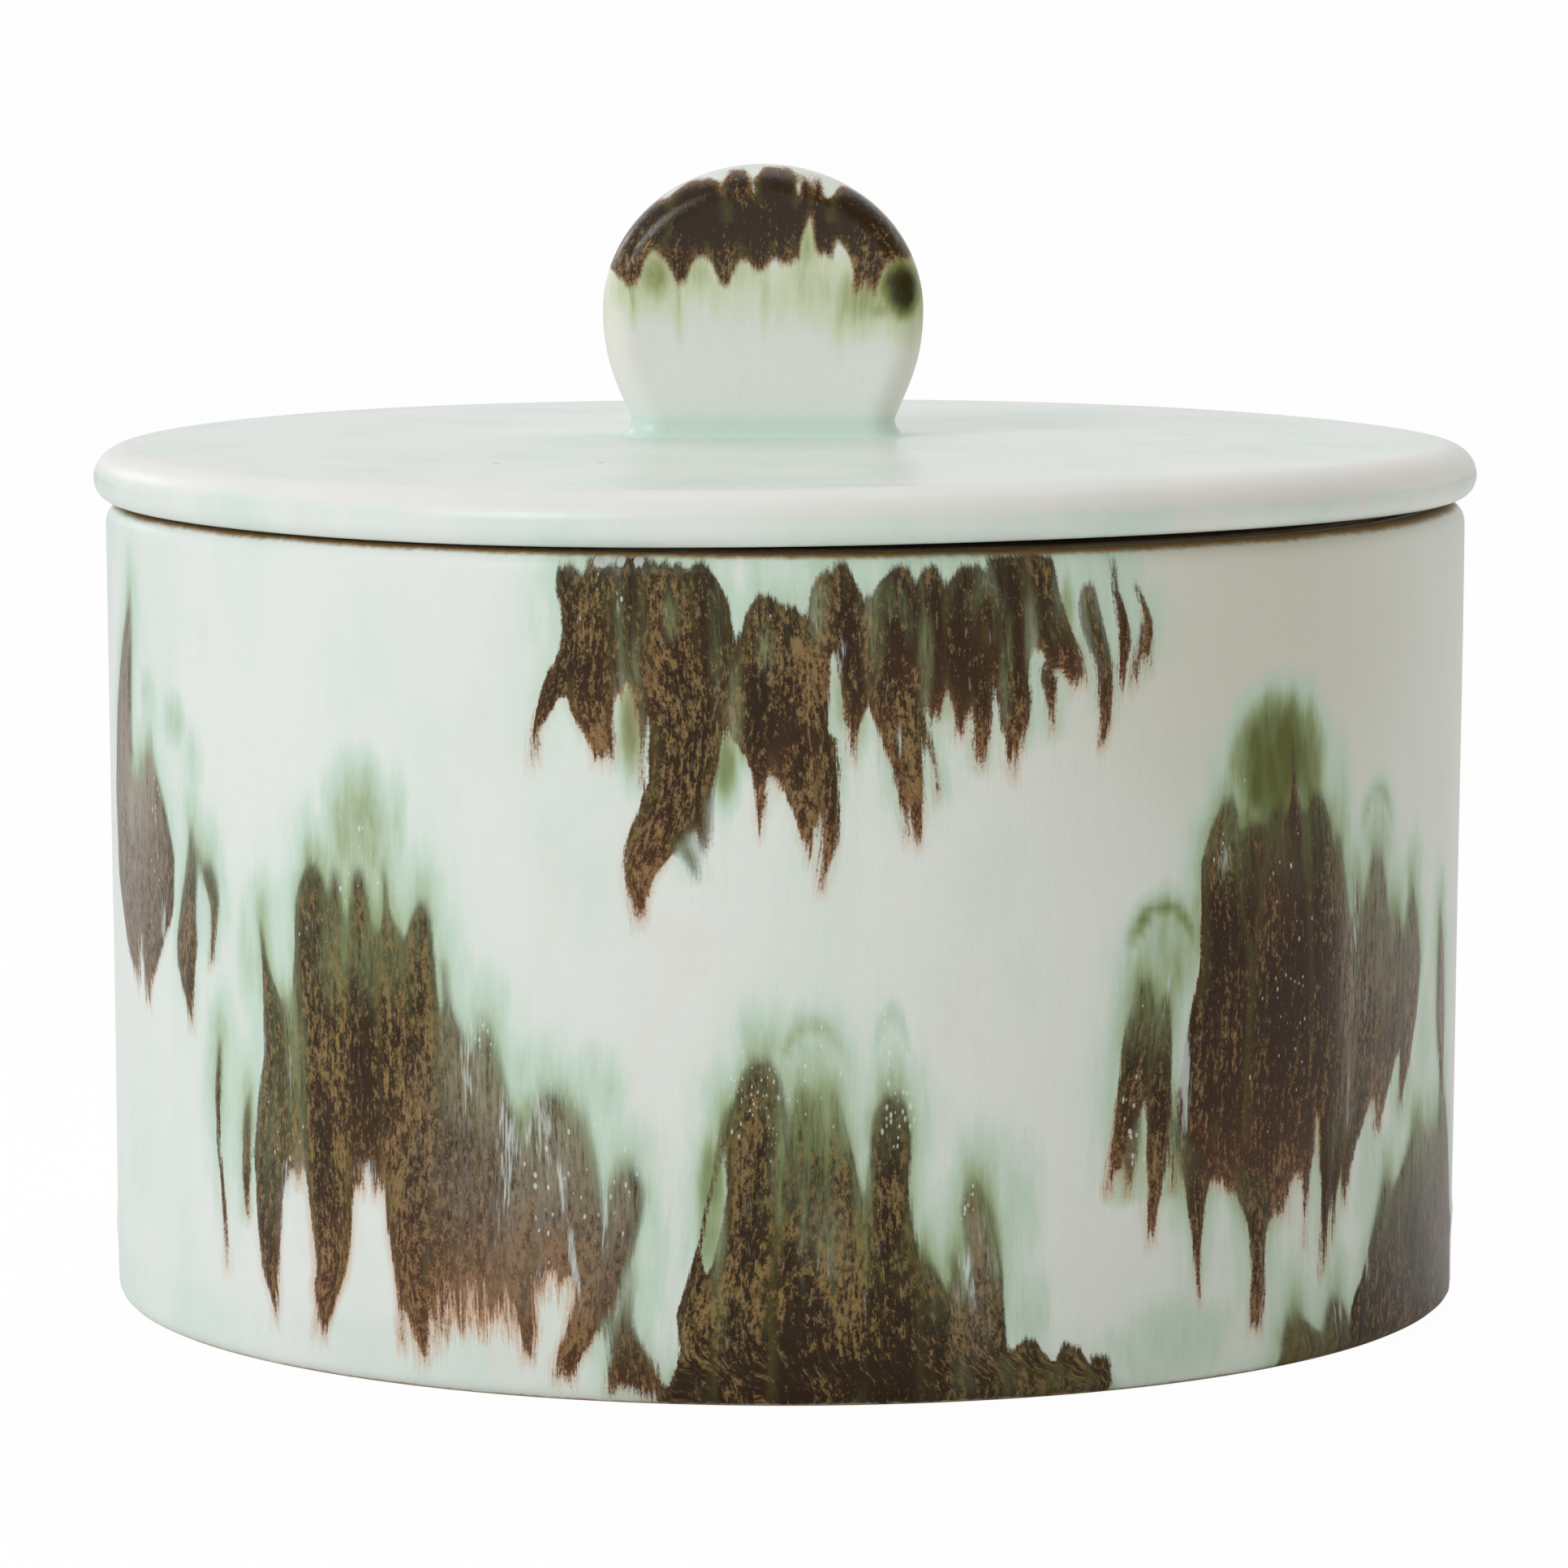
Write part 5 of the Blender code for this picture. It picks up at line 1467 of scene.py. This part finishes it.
@dataclass
class Lid:
    """The lid's plate and the locating ring under it. Only the worn band is in millimetres."""

    undercut: float = 1.0 * MM
    edge_rise: float = 2.6 * MM
    edge_round: float = 4.2 * MM
    dome: float = 0.9 * MM
    overhang: float = 1.4 * MM
    slice_steps: int = 10
    warp_height: float = 0.95 * MM
    warp_azimuth: float = 37.0
    ripple: float = 0.05 * MM
    worn_from: float = 77.8
    worn_drop: float = 2.0
    ring_wall: float = 5.0 * MM
    ring_draft: float = 0.6 * MM
    ring_edge: float = 1.2 * MM
    ring_lip: float = 0.8 * MM

    def __post_init__(self) -> None:
        """Takes the plate's and the ring's sizes from their CAD nodes."""
        low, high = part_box("lid_plate")
        self.bottom, self.crown = low.z, high.z
        self.radius = (high.x - low.x) / 2.0
        self.edge_top = self.crown - self.dome

    def plate_profile(self) -> List[Point]:
        """Outline of the plate: domed top, rounded edge, sloping underside of the edge, flat bottom."""
        seat = self.radius - self.overhang - self.undercut
        equator = self.bottom + self.edge_rise
        crown_radius = self.radius - self.edge_round
        shares = [step / 26 for step in range(26)]
        points = [(crown_radius * s, self.edge_top + self.dome * (1.0 - s * s)) for s in shares]
        points += arc((crown_radius, equator), (self.edge_round, self.edge_top - equator), 90, 0, 14)
        points += arc((seat, equator), (self.radius - seat, self.edge_rise), 0, -90, 8)[1:]
        points += line(points[-1], (0.0, self.bottom), 14)
        return points

    def warp(self, azimuth: np.ndarray) -> np.ndarray:
        """How far firing has lifted the plate's edge at each azimuth, in metres."""
        bulge = ((1.0 + np.cos(np.radians(azimuth - self.warp_azimuth))) / 2.0) ** 7
        return self.warp_height * bulge

    def build_plate(self, material: bpy.types.Material) -> bpy.types.Object:
        """Makes the plate with its firing warp, in place of the CAD node.

        Args:
            material: The lid's glaze.

        Returns:
            The finished piece.
        """
        sketch = bmesh.new()
        spin_profile(sketch, self.plate_profile(), ((-180.0, FULL_TURN, self.slice_steps, 6),))
        piece = finish_piece(sketch, "lid_plate_glazed", 60)
        points = read_points(piece.data)
        radius = np.hypot(points[:, 0], points[:, 1])
        azimuth = np.degrees(np.arctan2(points[:, 0], -points[:, 1]))
        points[:, 2] += self.warp(azimuth) * smoothstep(0.72 * self.radius, 0.99 * self.radius, radius)
        turn = np.radians(azimuth)
        ripple = self.ripple * np.sin(5 * turn + 1.0)
        points[:, 2] += ripple * smoothstep(0.3 * self.radius, self.radius, radius)
        write_points(piece.data, points)
        piece.data.materials.append(material)
        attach(piece, "lid")
        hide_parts("lid_plate")
        LOG.info("lid plate: %d faces", len(piece.data.polygons))
        return piece

    def build_ring(self, material: bpy.types.Material) -> bpy.types.Object:
        """Makes the bare locating ring, trimmed by hand, in place of the CAD node.

        Args:
            material: The bare clay.

        Returns:
            The finished piece.
        """
        low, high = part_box("lid_ring")
        outer = (high.x - low.x) / 2.0
        corner = (outer - self.ring_draft - self.ring_edge, low.z + self.ring_edge)
        inner = outer - self.ring_wall
        profile = [(outer, high.z)]
        profile += line((outer, high.z), (outer - self.ring_draft, corner[1]), 6)
        profile += arc(corner, (self.ring_edge, self.ring_edge), 0, -90, 5)[1:]
        lip = self.ring_lip
        profile += arc((inner + self.ring_draft + lip, low.z + lip), (lip, lip), -90, -180, 4)
        profile += line(profile[-1], (inner, high.z), 5)
        profile.append(profile[0])
        sketch = bmesh.new()
        spin_profile(sketch, profile, ((-180.0, FULL_TURN, 15, 4),))
        piece = finish_piece(sketch, "lid_ring_clay", 50)
        piece.data.materials.append(material)
        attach(piece, "lid")
        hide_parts("lid_ring")
        LOG.info("locating ring: %d faces", len(piece.data.polygons))
        return piece


@dataclass
class Knob:
    """The upright slab knob with its rounded edges and the fillet at its foot."""

    widest_rise: float = 14.8 * MM
    neck_width: float = 31.3 * MM
    neck_rise: float = 1.8 * MM
    edge: float = 3.6 * MM
    sunk: float = 0.5 * MM
    fillet: float = 2.3 * MM
    fillet_spread: float = 0.75
    cell: float = 0.55 * MM
    pillow: float = 0.25 * MM
    slant: float = 0.114
    circle_handle: float = 0.5523
    thickness: float = 12.5 * MM
    run_thickness: float = 0.12 * MM

    def __post_init__(self) -> None:
        """Takes the knob's height, width and place from its CAD node."""
        low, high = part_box("lid_knob")
        self.foot, self.top = low.z - self.sunk, high.z
        self.middle = (low.x + high.x) / 2.0
        self.half = (high.x - low.x) / 2.0

    def outline(self) -> List[Point]:
        """Closed outline seen from the front, drawn below the foot to be trimmed there."""
        neck = self.neck_width / 2.0
        base = self.foot + self.sunk
        widest, neck_height = base + self.widest_rise, base + self.neck_rise
        rise = (self.top - widest) * self.circle_handle
        fall = (widest - neck_height) * 0.5
        lean, lift = (self.half - neck) * 0.45, (widest - neck_height) * 0.3
        below = self.foot - 2.0 * self.edge
        spans = (
            ((neck, neck_height), (neck + lean, neck_height + lift), (self.half, widest - fall),
             (self.half, widest)),
            ((self.half, widest), (self.half, widest + rise), (self.half * self.circle_handle, self.top),
             (0.0, self.top)),
        )
        right = [(neck, below + (neck_height - below) * step / 8) for step in range(8)]
        for span in spans:
            for step in range(26):
                t = step / 26
                weights = ((1 - t) ** 3, 3 * t * (1 - t) ** 2, 3 * t * t * (1 - t), t ** 3)
                right.append(tuple(sum(w * p[i] for w, p in zip(weights, span)) for i in (0, 1)))
        left = [(-x, z) for x, z in reversed(right)]
        return right + [(0.0, self.top)] + left

    def cut(self, sketch: bmesh.types.BMesh, place: Place, normal: Place, trim: bool = False) -> List:
        """Cuts the knob along a plane, trims it behind the plane if asked and returns the cut's parts."""
        everything = sketch.verts[:] + sketch.edges[:] + sketch.faces[:]
        return bmesh.ops.bisect_plane(sketch, geom=everything, dist=MERGE, plane_co=place, plane_no=normal,
                                      clear_inner=trim)["geom_cut"]

    def flare(self, sketch: bmesh.types.BMesh) -> None:
        """Moves the foot outwards into a concave fillet.

        Args:
            sketch: The knob, with its middle on the Z axis.
        """
        for step in range(1, 9):
            self.cut(sketch, (0, 0, self.foot + self.fillet * (step / 8) ** 1.5), (0, 0, 1))
        flat_x = self.neck_width / 2.0 - self.edge
        flat_y = self.thickness / 2.0 - self.edge
        for vertex in sketch.verts:
            drop = self.fillet - (vertex.co.z - self.foot)
            if drop <= 0.0:
                continue
            reach = self.fillet_spread * (self.fillet - math.sqrt(max(self.fillet ** 2 - drop ** 2, 0.0)))
            away = Vector((max(abs(vertex.co.x) - flat_x, 0.0), max(abs(vertex.co.y) - flat_y, 0.0)))
            if away.length > 0.0:
                push = away.normalized() * reach
                vertex.co.x += math.copysign(push.x, vertex.co.x)
                vertex.co.y += math.copysign(push.y, vertex.co.y)

    def build(self, glaze: GlazeMap, material: bpy.types.Material) -> bpy.types.Object:
        """Makes the knob, lays its glaze and puts it in place of the CAD node.

        Args:
            glaze: The runs and blooms on the knob.
            material: The knob's glaze.

        Returns:
            The finished piece.
        """
        sketch = bmesh.new()
        corners = [sketch.verts.new((x, -self.thickness / 2.0, z)) for x, z in self.outline()]
        face = sketch.faces.new(corners)
        pushed = bmesh.ops.extrude_face_region(sketch, geom=[face])["geom"]
        far_side = [v for v in pushed if isinstance(v, bmesh.types.BMVert)]
        bmesh.ops.translate(sketch, verts=far_side, vec=(0, self.thickness, 0))
        loops = [e for e in sketch.edges if abs(e.verts[0].co.y - e.verts[1].co.y) < MERGE]
        bmesh.ops.bevel(sketch, geom=loops, offset=self.edge, affect="EDGES", segments=9, profile=0.5,
                        material=-1, clamp_overlap=False)
        opened = self.cut(sketch, (0, 0, self.foot), (0, 0, 1), trim=True)
        bmesh.ops.holes_fill(sketch, edges=[e for e in opened if isinstance(e, bmesh.types.BMEdge)])
        self.flare(sketch)
        self.cross_cut(sketch)
        piece = finish_piece(sketch, "lid_knob_glazed", 50)
        self.glaze(piece, glaze)
        piece.data.materials.append(material)
        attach(piece, "lid")
        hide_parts("lid_knob")
        LOG.info("knob: %d faces", len(piece.data.polygons))
        return piece

    def cross_cut(self, sketch: bmesh.types.BMesh) -> None:
        """Cuts the knob into fine cells, so that its glaze can follow.

        Args:
            sketch: The knob, with its middle on the Z axis.
        """
        columns = int(2.0 * self.half / self.cell)
        rows = int((self.top - self.foot - self.fillet) / self.cell)
        cuts = [((-self.half + self.cell * (step + 0.5), 0, 0), (1, 0, 0)) for step in range(columns)]
        cuts += [((0, 0, self.foot + self.fillet + self.cell * step), (0, 0, 1)) for step in range(1, rows)]
        for place, normal in cuts:
            self.cut(sketch, place, normal)

    def glaze(self, piece: bpy.types.Object, glaze: GlazeMap) -> None:
        """Lays the glaze's attributes, rounds the broad faces a little and puts the knob in its place.

        Args:
            piece: The knob, with its middle on the Z axis.
            glaze: The runs and blooms, seen from the front.
        """
        points = read_points(piece.data)
        across, height = points[:, 0] / MM, points[:, 2] / MM
        back = points[:, 1] > 0.0
        seen = np.where(back, -across, across)
        level = height + self.slant * (self.thickness / 2.0 - np.abs(points[:, 1])) / MM
        depth, drift = glaze.lay(piece, seen, level, np.ones(len(height)))
        drift = np.where(back, -drift, drift)
        glaze.store_place(piece, np.column_stack((across - drift, points[:, 1] / MM, height)))
        side, away = np.sign(points[:, 1]), np.abs(points[:, 1])
        from_middle = np.hypot(points[:, 0] / self.half, (points[:, 2] - self.foot - 15 * MM) / (17 * MM))
        broad = 1.0 - np.clip(from_middle, 0, 1)
        swell = self.pillow * broad * side * (away > self.thickness * 0.45)
        runs_swell = self.run_thickness * smoothstep(-0.2, 1.0, depth)
        points[:, 1] += swell + runs_swell * side * (away > 4 * MM)
        points[:, 0] += self.middle
        write_points(piece.data, points)


@dataclass
class Studio:
    """The white sweep, the soft lights and the camera."""

    lens: float = 184.7
    sensor: float = 36.0
    distance: float = 0.9576
    height: float = 0.1698
    pitch: float = 6.508
    shift: float = -0.0007
    ambient: float = 0.50
    backdrop: float = 0.80
    shade: Colour = (0.44, 0.34, 0.16)
    key_power: float = 8.1
    fill_power: float = 1.7
    front_power: float = 2.0
    top_power: float = 3.1
    rim_power: float = 0.9

    def build(self) -> None:
        """Makes the floor, the world, the lamps and the camera."""
        self.make_floor()
        self.make_world()
        self.make_lamp("key_light", (-0.95, -0.95, 0.85), 0.6, self.key_power)
        self.make_lamp("top_light", (0.1, 0.2, 1.3), 0.9, self.top_power)
        self.make_lamp("fill_light", (1.4, 0.5, 0.5), 1.0, self.fill_power)
        self.make_lamp("front_light", (0.35, -1.6, 0.25), 1.0, self.front_power)
        self.make_lamp("rim_light", (-0.9, 1.1, 0.55), 0.25, self.rim_power)
        self.make_camera()
        LOG.info("studio: floor, world, five lamps and camera")

    def make_floor(self) -> None:
        """Lays a wide pale floor that shows white and keeps a faint shadow."""
        sketch = bmesh.new()
        bmesh.ops.create_grid(sketch, x_segments=1, y_segments=1, size=40.0)
        mesh = bpy.data.meshes.new("studio_floor")
        sketch.to_mesh(mesh)
        sketch.free()
        floor = add_object("studio_floor", mesh)
        material = bpy.data.materials.new("studio_floor_white")
        material.use_nodes = True
        net = Net(material.node_tree)
        shader = material.node_tree.nodes["Principled BSDF"]
        shader.inputs["Base Color"].default_value = (0.92, 0.92, 0.92, 1.0)
        shader.inputs["Roughness"].default_value = 0.9
        glow = net.node("ShaderNodeEmission")
        glow.inputs["Strength"].default_value = 1.0
        path = net.node("ShaderNodeLightPath")
        blend = net.node("ShaderNodeMixShader")
        net.put(blend.inputs[0], net.scaled(path.outputs["Is Camera Ray"], 0.97))
        net.tree.links.new(shader.outputs[0], blend.inputs[1])
        net.tree.links.new(glow.outputs[0], blend.inputs[2])
        output = next(n for n in net.tree.nodes if n.type == "OUTPUT_MATERIAL")
        net.tree.links.new(blend.outputs[0], output.inputs["Surface"])
        mesh.materials.append(material)

    def make_world(self) -> None:
        """Makes even light from all round, which the camera sees as white."""
        world = bpy.data.worlds.new("studio_tent")
        bpy.context.scene.world = world
        world.use_nodes = True
        net = Net(world.node_tree)
        ground = next(n for n in net.tree.nodes if n.type == "BACKGROUND")
        camera = net.node("ShaderNodeLightPath").outputs["Is Camera Ray"]
        seen = net.node("ShaderNodeTexCoord").outputs["Generated"]
        towards = net.space("DOT_PRODUCT", seen, (0.8, -0.6, 0.0))["Value"]
        white = (1.0, 1.0, 1.0)
        dimmed = net.mix(net.rise(towards, 0.1, 0.95), white, self.shade)
        net.put(ground.inputs["Color"], net.mix(camera, dimmed, white))
        behind = net.rise(net.parts(seen)["Y"], -0.1, 0.7)
        lit = net.scaled(behind, self.backdrop - self.ambient, self.ambient)
        net.put(ground.inputs["Strength"], net.scaled(camera, net.flipped(lit), lit))

    def make_lamp(self, name: str, place: Place, size: float, power: float) -> None:
        """Hangs a square soft light that looks at the jar.

        Args:
            name: Name of the lamp.
            place: Where it hangs.
            size: Length of its sides.
            power: Its power in watts.
        """
        data = bpy.data.lights.new(name, "AREA")
        data.size = size
        data.energy = power
        lamp = add_object(name, data)
        lamp.location = place
        aim = Vector((0.0, 0.0, 0.06)) - Vector(place)
        lamp.rotation_euler = aim.to_track_quat("-Z", "Y").to_euler()

    def make_camera(self) -> None:
        """Puts the camera where the photograph was taken from."""
        data = bpy.data.cameras.new("photo_camera")
        data.lens = self.lens
        data.sensor_width = self.sensor
        data.shift_x = self.shift
        data.clip_start = 0.05
        data.clip_end = 100.0
        camera = add_object("photo_camera", data)
        camera.location = (0.0, -self.distance, self.height)
        camera.rotation_euler = (math.radians(90.0 - self.pitch), 0.0, 0.0)
        bpy.context.scene.camera = camera


def main() -> None:
    """Builds the jar, its lid and the studio."""
    logging.basicConfig(level=logging.INFO, format="%(name)s: %(message)s")
    bpy.context.scene.view_settings.view_transform = "Standard"
    kiln = Kiln()
    wall_runs = RIM_CURTAIN + RIM_SMEARS + LEFT_EDGE + LEFT_FALL + SMOKE_FALL + CENTRE_POOL + RIGHT_FALL
    wall_runs = wall_runs + RIGHT_EDGE + BACK_RUNS + BARE_TIPS
    pot = Pot()
    around = math.pi * pot.radius / 180.0 / MM
    wall_map = GlazeMap(wall_runs, WALL_GAPS, WALL_BLOOMS, around, FULL_TURN)
    pot.build(wall_map, kiln.wall(pot.height / MM))
    lid = Lid()
    lid.build_plate(kiln.lid(lid.worn_from, lid.edge_top / MM - lid.worn_drop))
    lid.build_ring(kiln.bare())
    knob = Knob()
    knob_map = GlazeMap(KNOB_RUNS, KNOB_GAPS, KNOB_BLOOMS, 1.0, NO_TURN)
    knob.build(knob_map, kiln.knob(knob.foot / MM))
    Studio().build()


if __name__ == "__main__":
    main()
